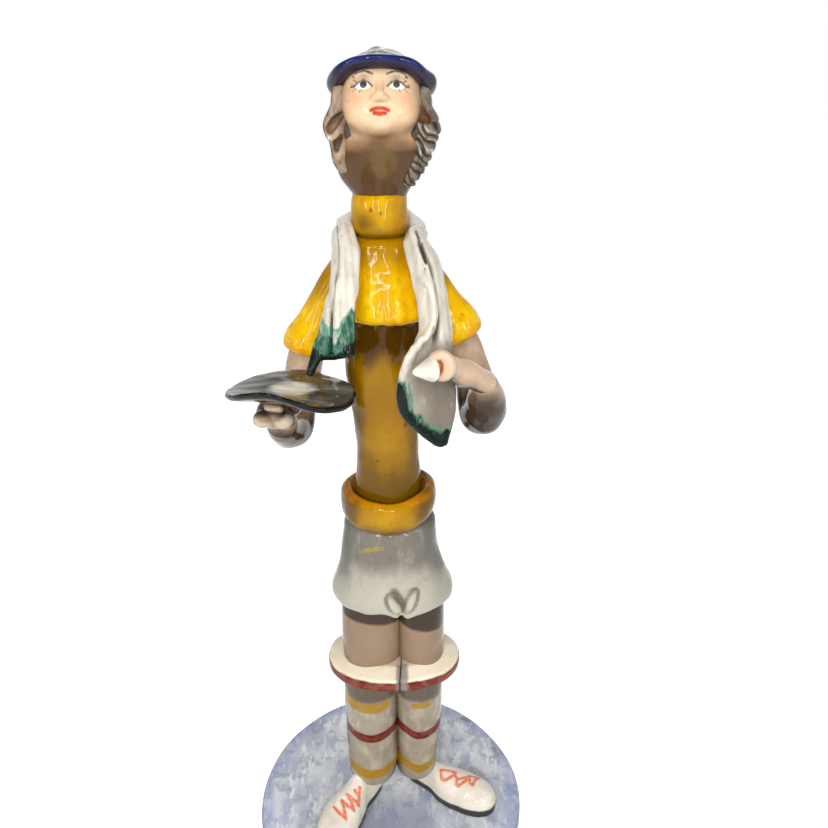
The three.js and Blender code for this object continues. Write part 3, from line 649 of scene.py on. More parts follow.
GLAZES = {
    "slab": slab_glaze(),
    "shoe": shoe_glaze(),
    "sock": sock_glaze(),
    "cuff": cuff_glaze(),
    "skin": skin_glaze(),
    "shorts": shorts_glaze(),
    "sweater": sweater_glaze(),
    "dish": dish_glaze(),
    "cone": cream_glaze("cone", "f6f2e4").done(),
    "scarf": scarf_glaze(),
    "face": face_glaze(),
    "hair_back": hair_glaze("hair_back", "4d4236", "6a5c4c"),
    "curls": hair_glaze("curl", "9c846f", "b59c83", 0.3),
    "locks": hair_glaze("lock", "6b6152", "857a6a", 0.5),
    "crown": crown_glaze(),
    "brim": brim_glaze(),
}


# Slab: a turned disc, pressed slightly uneven by hand

SLAB_EDGE = 2.6
SLAB_CHAMFER = 1
SLAB_SIDES = 220
SLAB_RINGS = 40


def slab():
    inner = SLAB_RADIUS - SLAB_EDGE
    profile = [(r, SLAB) for r in np.linspace(2, inner, SLAB_RINGS)]
    for turn in np.linspace(80, 0, 7):
        t = math.radians(turn)
        profile.append((inner + SLAB_EDGE * math.cos(t), SLAB - SLAB_EDGE + SLAB_EDGE * math.sin(t)))
    profile += [(SLAB_RADIUS, z) for z in (5.5, 4, 2.5)]
    profile += [(SLAB_RADIUS - 0.3, SLAB_CHAMFER), (SLAB_RADIUS - SLAB_CHAMFER, 0)]
    turn = np.linspace(0, 2 * np.pi, SLAB_SIDES, endpoint=False)
    points = [(0, 0, SLAB)]
    for r, z in profile:
        points += list(zip(r * np.cos(turn), r * np.sin(turn), np.full(SLAB_SIDES, z)))
    points = np.array(points + [(0, 0, 0)], float)
    out = np.hypot(points[:, 0], points[:, 1])
    rim = step_up(out, 35, SLAB_RADIUS)
    high = step_up(points[:, 2], 1.5, SLAB)
    points[:, 0:2] *= (1 - 0.006 * rim * high * (1 + lumps(points, 60, 3)))[:, None]
    points[:, 2] -= 0.28 * high * (1 + 0.8 * lumps(points, 34, 4)) * step_up(out, 0, 20)
    last = 1 + (len(profile) - 1) * SLAB_SIDES
    faces = []
    for k in range(SLAB_SIDES):
        side = (k + 1) % SLAB_SIDES
        faces.append([1 + k, 1 + side, 0])
        for a in range(1, last, SLAB_SIDES):
            faces.append([a + k, a + SLAB_SIDES + k, a + SLAB_SIDES + side, a + side])
        faces.append([last + k, len(points) - 1, last + side])
    x, y, z = points.T
    dabs = stroke(x, y, [(33, 39), (37, 37.6)]) - 1.3, stroke(x, y, [(45, 23), (47, 17)]) - 1.2
    marks = {
        "rim": SLAB_RADIUS - 5 - out + 2 * lumps(points, 40, 5),
        "khaki": nearest(*dabs),
        # Painted shadow on the slab between the shoes
        "between": oval(x - 3, y + 14, 17, 13),
        # Painted shade on the slab's side, below its rounded top edge
        "side": z - SLAB + 1.6,
    }
    place("slab", make_mesh("slab", points, faces, marks), "base_disc", "slab")


slab()


# Shoes: one last, turned out to each side. Heights and half widths go with the way from the heel

SHOE_LENGTH = 39
SHOE_HEIGHTS = {
    "right": [(0, 15), (7, 17), (13, 17.6), (18, 14.8), (28, 11.6), (39, 10.6)],
    "left": [(0, 14.6), (5, 16), (9, 15.2), (13, 13.6), (18, 12.4), (28, 11.2), (39, 10.6)],
}
SHOE_SOLE = 4.1
SHOE_BEND = {"right": 1.2, "left": 0.2}
SHOE_BLUNT = {"right": 2.7, "left": 3.8}
SHOE_WIDTHS = {
    "right": [(0, 5.2), (9, 4.7), (14, 4.8), (19, 6.4), (28, 8.6), (39, 8.8)],
    "left": [(0, 2.4), (6, 2.6), (11, 3.7), (17, 6.6), (24, 7.7), (39, 7.9)],
}
# Heel, degrees turned out, side
SHOE_PLACES = {"right": ((-4.6, 3.6), 33, -1), "left": ((7.7, 5.5), 66, 1)}
LACES = {
    "right": [
        [(-12.2, -11.3), (-12.6, -13.6), (-12.4, -16.2), (-14.6, -15.6), (-17.4, -13.9)],
        [(-17.4, -13.9), (-15.6, -16.2), (-14.2, -19), (-16.6, -18.2), (-19.4, -15.8)],
        [(-19.4, -15.8), (-18.2, -18.8), (-17.2, -22.3), (-19.8, -20.6), (-22.4, -17.8)],
        [(-14.2, -12.6), (-12.4, -14.2), (-12.9, -16.6)],
    ],
    "left": [
        [(20.9, -1.6), (21.3, -4.5), (23.1, -5.2), (26, -3.7), (27.4, -2.1), (25.2, -1.3), (20.9, -1.6)],
        [(26.1, -2), (27.7, -4.8), (27.2, -7), (28.1, -7.8), (31, -5.8), (33, -3.4), (27.7, -5.3)],
        [(33, -2.8), (37.2, -2.8), (35.7, -4), (34.1, -7.3), (33, -6.6), (32.9, -3.5)],
    ],
}


def shoe(side):
    heel, turn, way = SHOE_PLACES[side]
    turn = math.radians(turn)
    ahead = np.array([way * math.sin(turn), -math.cos(turn)])
    across = np.array([-ahead[1], ahead[0]])
    widths = through(SHOE_WIDTHS[side]).T
    heights = through(SHOE_HEIGHTS[side]).T

    def local(p):
        flat = p[:, :2] - heel
        return flat @ ahead, flat @ across, p[:, 2] - SLAB

    def field(p):
        s, u, w = local(p)
        share = 2 * s / SHOE_LENGTH - 1
        plump = np.sqrt(np.maximum(1 - abs(np.clip(share, -1, 1)) ** SHOE_BLUNT[side], 1e-4))
        wide = np.interp(s, *widths) * plump
        half = (np.interp(s, *heights) - SHOE_SOLE) * plump + 0.6
        bend = SHOE_BEND[side] * np.sin(math.pi * np.clip(s / SHOE_LENGTH, 0, 1)) * way
        body = oval(u - bend, np.maximum(w - SHOE_SOLE, 0), wide, half, 2.25)
        body += 8 * np.maximum(abs(share) - 1, 0)
        body += 0.12 * lumps(p, 9, 11)
        return both(body, 0.3 - w, 0.9)

    def marks(p, normal):
        s, u, w = local(p)
        lace = nearest(*[stroke(p[:, 0], p[:, 1], loop) for loop in LACES[side]]) - 0.6
        # Painted shadow on the lowest few millimetres of the shoe
        return {"lace": lace + np.where(w > 6.5, 0, 3), "sole_shade": w - SHOE_SOLE + 0.4 - 0.02 * s}

    clay(side + "_shoe", "shoe", field, marks, FINE_STEP, 5)


for side in SIDES:
    shoe(side)


# Legs: rows of share of the height, x, y, half width, half depth

SOCK_ROWS = {
    "right": [
        (0, -7.4, -0.6, 8.2, 7.8), (0.06, -7.2, -0.6, 9.6, 8.8), (0.2, -6.9, -0.6, 10.4, 9.4),
        (0.42, -6.9, -0.8, 10.5, 9.8), (0.7, -7, -1, 10.6, 10), (1, -6.9, -1, 10.8, 9.8),
    ],
    "left": [
        (0, 10.6, 2, 7, 7.4), (0.06, 10.6, 1.8, 8.2, 8.2), (0.2, 10.9, 1.4, 8.4, 8.8),
        (0.42, 11.5, 0.4, 9.1, 9.2), (0.7, 11.7, -0.6, 9.1, 9.4), (1, 11.8, -1, 9.4, 9.4),
    ],
}
THIGH_ROWS = {
    "right": [(0, -6.2, -1, 11.2, 10), (0.5, -6, -1, 11.2, 10.2), (1, -5.6, -1, 10.8, 9.8)],
    "left": [(0, 12.5, -0.6, 8.6, 9.6), (0.5, 12.4, -0.6, 8.6, 9.8), (1, 12.3, -0.6, 8.5, 9.4)],
}
UPPER_STRIPE = KNEE - 16.5
RED_STRIPE = KNEE - 32.5
LOWER_STRIPE = KNEE - 53.4


def sock(side, way, seed):
    def field(p):
        body = upright(p, SOCK_ROWS[side], ANKLE - 0.6, KNEE, 2.6)
        return body + 0.14 * lumps(p, 13, seed)

    def marks(p, normal):
        x, y, z = p.T
        middle_x, middle_y = SOCK_ROWS[side][3][1:3]
        # 0 at the front of the leg, 1 at its inner side and -1 at its outer side
        turn = way * np.arctan2(x - middle_x, -(y - middle_y)) / (math.pi / 2)
        outer, inner = np.clip(-turn, 0, 1), np.clip(turn, 0, 1)
        if side == "left":
            wave = 4.6 * outer**2 + 2.2 * step_up(inner, 0, 0.4) + 0.5 * inner
            upper = stroke(x, z, [(10.2, 68), (15, 68.4)]) - 1.5 + np.where(y < 0, 0, 6)
        else:
            wave = 4.6 * outer**2 + 4.2 * inner**1.5
            upper = abs(z - UPPER_STRIPE - 0.6 * wave) - 2.5 + 6 * step_up(turn, 0.4, 0.6)
        red = abs(z - RED_STRIPE - wave)
        lower = z - LOWER_STRIPE - wave
        return {
            "yellow": nearest(upper, abs(lower) - 2.6),
            "orange": abs(lower - 1.6) - 0.7 + 3 * step_up(-turn, 0, 0.6),
            "red": red - 2.2,
            "red_core": red - 0.8,
            # Painted shade on the leg's inner side, towards the other leg
            "valley_shade": (0.62 if side == "right" else 0.7) - turn,
            # Painted shade on the sides and under the cuff
            "dim_shade": nearest(6.5 - 9 * abs(turn), KNEE - 14 - z),
        }

    clay(side + "_sock", "sock", field, marks)


def thigh(side, seed):
    def field(p):
        return upright(p, THIGH_ROWS[side], KNEE, CROTCH, 1, 2.3) + 0.16 * lumps(p, 15, seed)

    def marks(p, normal):
        x, y, z = p.T
        hem_shadow = np.where(x < 4, CROTCH - 14.2 - 0.15 * (x + 6), CROTCH - 17 - 0.12 * (x - 6))
        # Painted shadow of the shorts' hem, and painted shade that dims the whole thigh
        return {"shade": hem_shadow - z, "dim_shade": -3.4}

    clay(side + "_thigh", "skin", field, marks)


sock("right", 1, 21)
sock("left", -1, 22)
thigh("right", 31)
thigh("left", 32)


# Sock tops: one flat flange round both knees, parted between the legs

CUFF_CENTRE = (2, -0.8)
CUFF_HALF = (25.2, 16.6)
CUFF_TOP = KNEE + 5.2
CUFF_LOW = KNEE - 5.2
PARTING_X = 5.4


def cuff(side, way):
    def outline(p):
        return oval(p[:, 0] - CUFF_CENTRE[0], p[:, 1] - CUFF_CENTRE[1], *CUFF_HALF, 2.25)

    def field(p):
        z = p[:, 2]
        out = outline(p) + 0.3 * lumps(p, 17, 41)
        top = z - CUFF_TOP + 0.32 * np.maximum(out + 6, 0)
        under = CUFF_LOW + 1.4 - z + 0.75 * np.maximum(out + 3.2, 0)
        flange = both(both(out, top, 1.5), under, 1.4)
        parted = way * (p[:, 0] - PARTING_X - 0.05 * p[:, 1]) + 0.1
        return both(flange, parted, 1.6)

    def marks(p, normal):
        z = p[:, 2]
        out = outline(p)
        low = CUFF_LOW + 3.2 - 0.4 * lumps(p, 20, 42)
        high = CUFF_TOP - 2.4
        band = np.maximum.reduce([low - z, z - high, -1.6 - out])
        return {
            "band": band,
            "band_core": band + 1.3,
            # Painted shade within about 2 mm of the parting, at the front
            "parting_shade": abs(p[:, 0] - PARTING_X) - 2.2 + np.where(p[:, 1] < -10, 0, 4),
            "inner": np.where(z > KNEE, out + 6.6, CUFF_LOW - 3 - z),
        }

    clay(side + "_sock_cuff", "cuff", field, marks, margin=3)


cuff("right", 1)
cuff("left", -1)


# Shorts: a flared bell, its hem rolled under, pinched into two folds at the front

SHORTS_LOW = CROTCH - 8.2
SHORTS_ROWS = [
    (0, 1.9, -0.5, 20.8, 15.8), (0.1, 1.9, -0.5, 21.9, 16.7), (0.2, 1.8, -0.5, 21.7, 16.5),
    (0.36, 1.5, -0.5, 19.6, 15), (0.56, 1.2, -0.4, 17.7, 14), (0.78, 1.2, 0, 16.6, 13.4),
    (1, 1.2, 0, 16, 12.8),
]
HEM_INSIDE = 3.3
# Petals: middle, half sizes, degrees leaned
LEFT_PETAL = ((3.2, 6.7), (2.3, 4.6), 30)
RIGHT_PETAL = ((8.6, 7.2), (2, 5), -24)
SHORTS_SPECKS = [(1.5, 140, 0.7), (3.6, 143.5, 0.5), (5.8, 144.2, 0.5)]


def petal(x, rise, shape):
    (cx, cz), (wide, high), turn = shape
    c, s = math.cos(math.radians(turn)), math.sin(math.radians(turn))
    x, rise = x - cx, rise - cz
    return oval(x * c + rise * s, rise * c - x * s, wide, high)


def shorts_field(p):
    x, y, z = p.T
    front = step_up(-y, 2, 9)
    rise = z - SHORTS_LOW
    drape = 0.45 * np.sin(1.9 * np.arctan2(x, -y) * 4 + 0.8) * step_up(-rise, -26, -4)
    hem_line = 1.3 * bump_at(x, -1.5, 5) - 1.2 * bump_at(x, 5.6, 3.4)
    outer = upright(p, SHORTS_ROWS, SHORTS_LOW + hem_line * front, WAIST, 3.1)
    outer = outer + 0.3 * drape + 0.2 * lumps(p, 12, 51)
    for shape, low_side in ((LEFT_PETAL, 1), (RIGHT_PETAL, -1)):
        leaf = petal(x, rise, shape)
        groove = bump_at(leaf, 0.1, 0.6) * (0.5 + 0.5 * step_up(rise, 3, 9))
        deeper = bump_at(petal(x - low_side * 1.5, rise, shape), 0, 1.1) * step_up(-leaf, 1.5, -0.5)
        outer += front * (1.1 * groove + 0.6 * deeper - 0.5 * step_up(-leaf, 0, 1.4))
    notch = stroke(x, rise, [(5.4, -2), (5.4, 2.6)])
    outer += front * 1.8 * bump_at(notch, 0, 1.4)
    inner_rows = [(s, cx, cy, w - HEM_INSIDE, d - HEM_INSIDE) for s, cx, cy, w, d in SHORTS_ROWS[:4]]
    inner = upright(p, inner_rows + [(1, 1.2, 0, 15, 12)], SHORTS_LOW - 8, CROTCH - 0.5, 0.5)
    return carve(outer, inner, 0.8)


def shorts_marks(p, normal):
    x, y, z = p.T
    rise = z - SHORTS_LOW
    front = np.where(y < 0, 0, 6)
    specks = [np.hypot(x - sx, z - sz) - size for sx, sz, size in SHORTS_SPECKS]
    left, right = petal(x, rise, LEFT_PETAL), petal(x, rise, RIGHT_PETAL)
    rim = nearest(abs(left), abs(right)) - 0.3 + 1.2 * step_up(-rise, -5, 0)
    band = stroke(x, rise, [(3, 12), (5.4, 7.6), (6.8, 4.2)]) - 1.5
    return {
        # Painted shade over the top of the shorts, under the sweater's roll
        "high": WAIST - 15.5 - z,
        # Painted shade on the sides, reaching further in towards the top
        "side": 12.6 - abs(x - 1.5) + 0.16 * np.maximum(-rise + 26, 0),
        "low": rise - 13,
        # Painted shade in the grooves round the folds and in the crease between them
        "fold": nearest(rim, band) + front,
        "petal": nearest(left, right) + 0.9 + front,
        "smear": stroke(x, z, [(-7.5, 141.5), (-4.5, 142.8), (-1.2, 143.6)]) - 0.8 + front,
        "grey": nearest(*specks) + front,
    }


clay("shorts", "shorts", shorts_field, shorts_marks, BODY_STEP, 1)


# Sweater: slack roll at the hip, trunk, overhanging chest, collar

TRUNK_ROWS = [
    (0, 1, -0.4, 12.2, 10.8), (0.16, 0.9, -0.2, 11.3, 10), (0.36, 0.8, 0, 10.5, 9.4),
    (0.58, 0.2, 0, 11, 9.6), (0.8, 0.1, -0.4, 12.6, 10.6), (1, 0.8, -0.8, 13.2, 11),
]
HEM_ROWS = [
    (0, 1, -0.4, 13.8, 12.4), (0.12, 1, -0.4, 15.3, 14), (0.3, 1, -0.4, 16.3, 15),
    (0.58, 1, -0.4, 16.6, 15.3), (0.82, 1, -0.4, 16.1, 14.9), (1, 1, -0.4, 14.9, 13.8),
]
CHEST_ROWS = [
    (0, 1.4, -1.4, 13, 11.8), (0.1, 1.5, -1.9, 15, 13.8), (0.22, 1.5, -1.7, 15.3, 13.5),
    (0.5, 1.2, -0.8, 15, 11.2), (0.75, 0.6, 0, 14, 9.4), (0.92, 0.2, 0.2, 11.6, 8.4),
    (1, 0, 0.2, 9.2, 7.6),
]
COLLAR_ROWS = [
    (0, 0, -0.6, 7.9, 8.3), (0.22, -0.3, -0.9, 8.4, 9.1), (0.6, -0.4, -1, 8.3, 9.1),
    (0.86, -0.3, -0.8, 8, 8.7), (1, -0.2, -0.6, 7.2, 7.9),
]
# Blisters in the glaze: x, height, size
BLISTERS = [
    (7.2, 189, 1.1), (8.4, 192.5, 0.8), (3.6, 212.5, 1), (-5.5, 211, 0.7), (-2, 176, 0.6),
    (2.5, 171, 0.5),
]


def hem_field(p):
    p = p.copy()
    p[:, 2] += bump_at(p[:, 0], 1.5, 7) * (p[:, 1] < 0) - 1.1 * step_up(p[:, 0], 5, 15)
    low, high = WAIST - 0.9, WAIST + 12.4
    outer = upright(p, HEM_ROWS, low, high, 2.2) + 0.22 * lumps(p, 13, 61)
    rise = p[:, 2] - WAIST
    flare = 0.6 * np.maximum(rise - 8, -2)
    mouth = oval(p[:, 0] - 1, p[:, 1] + 0.4, 10.6 + flare, 9.4 + flare)
    slack = 0.5 * np.sin(3 * np.arctan2(p[:, 0], -p[:, 1]) + 0.6)
    return carve(outer, both(mouth, 9.8 + slack - rise, 1.2), 1.8)


def hem_marks(p, normal):
    rise = p[:, 2] - WAIST
    out = oval(p[:, 0] - 1, p[:, 1] + 0.4, 16.6, 15.3)
    return {
        # Painted shade on the roll's sides and bottom; darker ochre glaze with painted shade all over
        "olive_shade": nearest(rise - 2, 9.8 - abs(p[:, 0] - 1)),
        "orange": abs(rise - 11.6) - 1.1 + np.maximum(-out - 6, 0),
        "ochre_and_shade": -3.6,
    }


def trunk_field(p):
    body = upright(p, TRUNK_ROWS, WAIST + 0.3, BUST, 1) + 0.22 * lumps(p, 14, 62)
    for x, z, size in BLISTERS:
        dome = np.exp(-(((p[:, 0] - x) ** 2 + (p[:, 2] - z) ** 2) / size**2))
        body -= 0.45 * size * dome * (p[:, 1] < 0)
    return body


def trunk_marks(p, normal):
    x, y, z = p.T
    drips = [np.hypot(x - bx, z - bz + 0.8) - 0.9 * size for bx, bz, size in BLISTERS]
    # Painted shade on the trunk's sides and lower part, brown glaze with painted shadow under the chest, and
    # darker ochre glaze with painted shade all over
    side = 7.6 - abs(x - 0.6) + 0.1 * np.maximum(z - BUST + 20, 0)
    return {
        "brown_and_shadow": BUST - 11 - z - 3 * bump_at(x, -4.5, 2.2) - 2 * bump_at(x, 5, 2),
        "drip": nearest(*drips) + np.where(y < 0, 0, 6),
        "ochre_and_shade": z - BUST - 12,
        "olive_shade": nearest(side, 0.26 * (z - WAIST - 26)),
    }


def chest_field(p):
    body = upright(p, CHEST_ROWS, BUST - 0.6, SHOULDER, 3.2) + 0.2 * lumps(p, 12, 63)
    x, y, z = p.T
    front = step_up(-y, 4, 10) * step_up(z, BUST + 12, BUST + 3)
    folds = 0.5 * bump_at(x, 0.4, 0.9) + 0.45 * bump_at(x, 4.4, 0.9) + 0.3 * bump_at(x, 8.2, 1)
    return body + front * folds


def chest_marks(p, normal):
    x, y, z = p.T
    # Painted shade under the chest's edge; darker ochre glaze with painted shade at its sides and top
    return {"olive_shade": z - BUST - 0.4, "ochre_and_shade": nearest(12.6 - abs(x - 1), BUST + 16.5 - z)}


def collar_field(p):
    return upright(p, COLLAR_ROWS, NECK - 1, COLLAR, 2.4) + 0.2 * lumps(p, 9, 64)


def collar_marks(p, normal):
    x, y, z = p.T
    return {
        "drip": nearest(np.hypot(x + 2.4, z - NECK - 8) - 0.5, np.hypot(x - 0.2, z - NECK - 7.2) - 0.45),
        # Painted shade at the collar's foot and in a patch on its right side; darker ochre glaze with painted
        # shade on most of it
        "olive_shade": nearest(np.hypot(x + 5, z - NECK - 4) - 2, z - NECK - 1.5),
        "ochre_and_shade": nearest(7.4 - abs(x), -1.4 - 0.4 * (NECK + 9 - z)),
    }


clay("sweater_hem", "sweater", hem_field, hem_marks, BODY_STEP)
clay("sweater_trunk", "sweater", trunk_field, trunk_marks, BODY_STEP)
clay("sweater_chest", "sweater", chest_field, chest_marks, BODY_STEP)
clay("turtleneck_collar", "sweater", collar_field, collar_marks, BODY_STEP)


# Sleeves and arms: rows of x, y, drop below the shoulder line, radius

SLEEVES = {
    "right": [
        (-10.5, 0, 9, 4.2), (-14.6, -0.5, 15.5, 4.7), (-18, -1.2, 22, 5.1), (-21, -1.8, 29, 6.4),
        (-22.9, -2.2, 34.2, 8.3),
    ],
    "left": [
        (11, 0, 9, 4.2), (14.6, -0.5, 14, 4.8), (17.8, -1, 19, 5.2), (20.6, -1.8, 24.4, 6.6),
        (22.6, -2.2, 29.4, 8.5),
    ],
}
# Middle of the mouth and the way that it faces
SLEEVE_ENDS = {
    "right": ((-23.7, -2.4, 36.6), (-0.2, -0.05, -0.98)),
    "left": ((23.5, -2.4, 32.6), (0.42, -0.05, -0.9)),
}
SLEEVE_WALL = 2.2
ARMS = {
    "right": [
        (-19, -1, 23, 4.6), (-24.4, -1.6, 39, 5.6), (-27.4, -2.4, 52, 5.8), (-29.6, -6.5, 61, 6.8),
        (-30.2, -14, 58.4, 5.9), (-30.2, -21, 53.5, 4.8),
    ],
    "left": [
        (19.4, -1, 21, 4.6), (25.8, -1.6, 36, 5.2), (29.4, -2.6, 48, 6.2), (31.6, -5.5, 56.8, 7.3),
        (32.2, -12, 50.4, 6.4), (31, -18.2, 42, 4.3),
    ],
}


def sleeve(side):
    rows = np.array(hang(SLEEVES[side]))
    (x, y, drop), way = SLEEVE_ENDS[side]
    end = np.array((x, y, SHOULDER - drop))
    along = np.array(way) / np.linalg.norm(way)

    def field(p):
        cone = limb(p, rows, steps=12)
        ahead = (p - end) @ along
        body = both(cone, ahead, 1.3)
        mouth = both(cone + SLEEVE_WALL, -2.6 - ahead, 1)
        return carve(body, mouth, 0.9) + 0.16 * lumps(p, 11, 71)

    def marks(p, normal):
        ahead = (p - end) @ along
        # Painted shade inside the mouth; darker ochre glaze with painted shade near the shoulder
        return {"olive_shade": 0.2 - ahead, "ochre_and_shade": ahead + 17, "orange": abs(ahead + 1.6) - 0.9}

    clay(side + "_sleeve", "sweater", field, marks, FINE_STEP, 4)


def arm(side, seed):
    rows = hang(ARMS[side])

    def field(p):
        return limb(p, rows, steps=16) + 0.16 * lumps(p, 10, seed)

    def marks(p, normal):
        """Painted shade on the underside of the elbow and forearm, and a dimmer tone all over the arm."""
        x, y, z = p.T
        low = 4 * (normal[:, 2] + 0.22) + 0.5 * (z - SHOULDER) + np.where(x < 0, 26, 22.4)
        low = np.maximum(low, 0.5 * (y + 1))
        return {"shade": 0.35 * low + 0.15, "dim_shade": np.minimum(low - 2.2, -0.2)}

    clay(side + "_arm", "skin", field, marks)


sleeve("right")
arm("right", 72)
sleeve("left")
arm("left", 73)


# Dish on the right hand

DISH_PLACE = (-24.7, -33)
DISH_RADII = (18.4, 18)
DISH_DROP = 36.4
DISH_HALF = 1
# Degrees round the edge, drop there
DISH_EDGE = [
    (-29, 38.4), (4, 38.9), (52, 40.2), (89, 39), (130, 39), (170, 38.4), (212, 35), (237, 31.9),
    (258, 30.6), (276, 32.2), (300, 36), (331, 38.4), (364, 38.9),
]


def dish_height(x, y):
    dx, dy = (x - DISH_PLACE[0]) / DISH_RADII[0], (y - DISH_PLACE[1]) / DISH_RADII[1]
    out = np.minimum(np.hypot(dx, dy), 1.1)
    turn = np.degrees(np.arctan2(dy, dx)) % 360
    edge = through(DISH_EDGE)
    rise = DISH_DROP + 1 - np.interp(turn, edge[:, 0], edge[:, 1])
    return SHOULDER - DISH_DROP - 1 + rise * out**2.3


def dish_field(p):
    x, y, z = p.T
    turn = np.arctan2(y - DISH_PLACE[1], x - DISH_PLACE[0])
    wavy = 1 + 0.012 * np.sin(2 * turn + 1) + 0.01 * np.sin(5 * turn)
    out = oval(x - DISH_PLACE[0], y - DISH_PLACE[1], *DISH_RADII) * wavy
    sheet = abs(z - dish_height(x, y)) - DISH_HALF
    return both(sheet, out, 1) + 0.06 * lumps(p, 7, 81)


def dish_marks(p, normal):
    x, y, z = p.T
    out = oval(x - DISH_PLACE[0], y - DISH_PLACE[1], *DISH_RADII)
    upper = np.where(normal[:, 2] > 0.2, 0, NO_MARK)
    streaks = stroke(x, y, [(-26, -38), (-14, -43)]), stroke(x, y, [(-14, -31), (-9, -31)])
    return {
        "patch": oval(x + 24, y + 33.5, 6.6, 4.6) + upper,
        "streak": nearest(*streaks) - 1.8 + upper,
        "pale": nearest(x + 34, stroke(x, y, [(-34, -20), (-20, -17)]) - 3) + upper,
        "black": np.where(normal[:, 2] > 0.5, 0.1, -1.8) - out - 0.9,
    }


clay("dish", "dish", dish_field, dish_marks, FINE_STEP, 3)


# Right hand: a cupped palm, its fingers curled up under the dish

PALM = (-30.2, -29.5, SHOULDER - 45.3)
KNUCKLES = [(-33, -35.2, 45, 2.9, 2.7, 2.6), (-26.8, -35.5, 45.5, 3.1, 2.7, 2.5)]
FINGERTIP = hang([(-31.2, -35.6, 41.2, 1.2), (-27.8, -36.2, 41.4, 1.2)])
THUMB = hang([(-26, -27, 46, 2.4), (-24.6, -31, 43.4, 2), (-25.6, -33.6, 41, 1.6)])
WRIST = hang([(-30.2, -20, 52.5, 4.4), (-30.4, -26, 47.5, 4.6)])


def right_hand_field(p):
    palm = egg(p, PALM, (5.6, 7.2, 4.4))
    rest = egg(p, (-29.4, -28, SHOULDER - 41.6), (4.2, 5, 4.4))
    knuckles = join(0.5, *[egg(p, (x, y, SHOULDER - drop), radii) for x, y, drop, *radii in KNUCKLES])
    palm = join(2, palm, limb(p, WRIST), rest)
    return join(0.6, palm, knuckles, limb(p, FINGERTIP), limb(p, THUMB)) + 0.08 * lumps(p, 6, 82)


def right_hand_marks(p, normal):
    x, y, z = p.T
    drop = SHOULDER - z
    under_dish = stroke(x, drop, [(-36, 42.6), (-25, 43)]) - 0.7
    beside_thumb = stroke(x, drop, [(-25, 41), (-23.6, 46)]) - 1.4
    front = np.where(y < -35, 0, 4)
    tips = stroke(x, drop, [(-31.2, 40.9), (-28, 41)]) - 0.6
    outer_lobe = stroke(x, drop, [(-35, 45.2), (-31.6, 46.4)]) - 1.2
    inner_lobe = stroke(x, drop, [(-28, 46), (-25.4, 44.6)]) - 1.4
    return {
        "shade": nearest(under_dish, beside_thumb) + np.where(y < -30, 0, 3),
        # Painted shade that dims the whole fist
        "dim_shade": -2.8,
        # Painted highlight on the fingertips and knuckles
        "pale": nearest(tips, outer_lobe, inner_lobe) + front,
    }


clay("right_hand", "skin", right_hand_field, right_hand_marks, FINE_STEP, 2)


# Left hand: fingers and thumb closed in a ring round the end of a small white cone

LEFT_PALM = hang([
    (30.8, -19.2, 40.6, 3.7), (28, -23.4, 37.6, 3.5), (24.4, -27.6, 34.2, 4.1),
    (20.8, -31.4, 31.4, 3.6), (18, -35.4, 28.8, 3.8),
])
CONE_ROOT = (14.6, -38.2, SHOULDER - 28.6)
CONE_TIP = (9.3, -41.4, SHOULDER - 28.2)
CONE_RADIUS = 3.3
PINCH = (16.6, -38.6, SHOULDER - 27.9)


def along_cone(p):
    root, tip = np.array(CONE_ROOT), np.array(CONE_TIP)
    along = (tip - root) / np.linalg.norm(tip - root)
    ahead = (p - root) @ along
    out = np.linalg.norm(p - root - ahead[:, None] * along, axis=1)
    return ahead, out, np.linalg.norm(tip - root)


def left_hand_field(p):
    palm = limb(p, LEFT_PALM, steps=12)
    x, y, z = PINCH
    ring = np.hypot(oval(p[:, 0] - x - 0.5, p[:, 2] - z, 2.6, 3.1), p[:, 1] - y - 1.6) - 1.5
    body = blend(palm, ring, 1.2)
    return carve(body, egg(p, (x, y - 0.2, z), (1.1, 1.8, 1.9)), 0.5) + 0.1 * lumps(p, 7, 83)


def left_hand_marks(p, normal):
    x, y, z = PINCH
    front = np.where(p[:, 1] < y + 3, 0, 4)
    inside = oval(p[:, 0] - x, p[:, 2] - z, 1.3, 2.2) + front
    ring = abs(oval(p[:, 0] - x - 0.8, p[:, 2] - z, 2.8, 3.4)) - 0.7 + front
    return {
        "shade": 4 * (normal[:, 2] + 0.72),
        # Painted shade that dims the hand's lower faces
        "dim_shade": 5 * (normal[:, 2] + 0.45),
        "pale": np.maximum(ring, -inside - 0.5),
        "pinch": inside,
    }


def cone_field(p):
    ahead, out, length = along_cone(p)
    taper = np.maximum(1 - ahead / (length + 0.4), 0) ** 0.85
    side = (out - CONE_RADIUS * taper - 0.2) * 0.9
    return both(side, np.maximum(-ahead - 0.6, ahead - length), 0.8) + 0.08 * lumps(p, 5, 84)


clay("left_hand", "skin", left_hand_field, left_hand_marks, FINE_STEP, 3)
clay("held_cone", "cone", cone_field, None, FINE_STEP, 2)


# Scarf: one strip, folded along its length. Each row holds five points across it, as
# x, y, drop below the shoulder line: folded edge, inner turn, middle, outer fold, outer edge

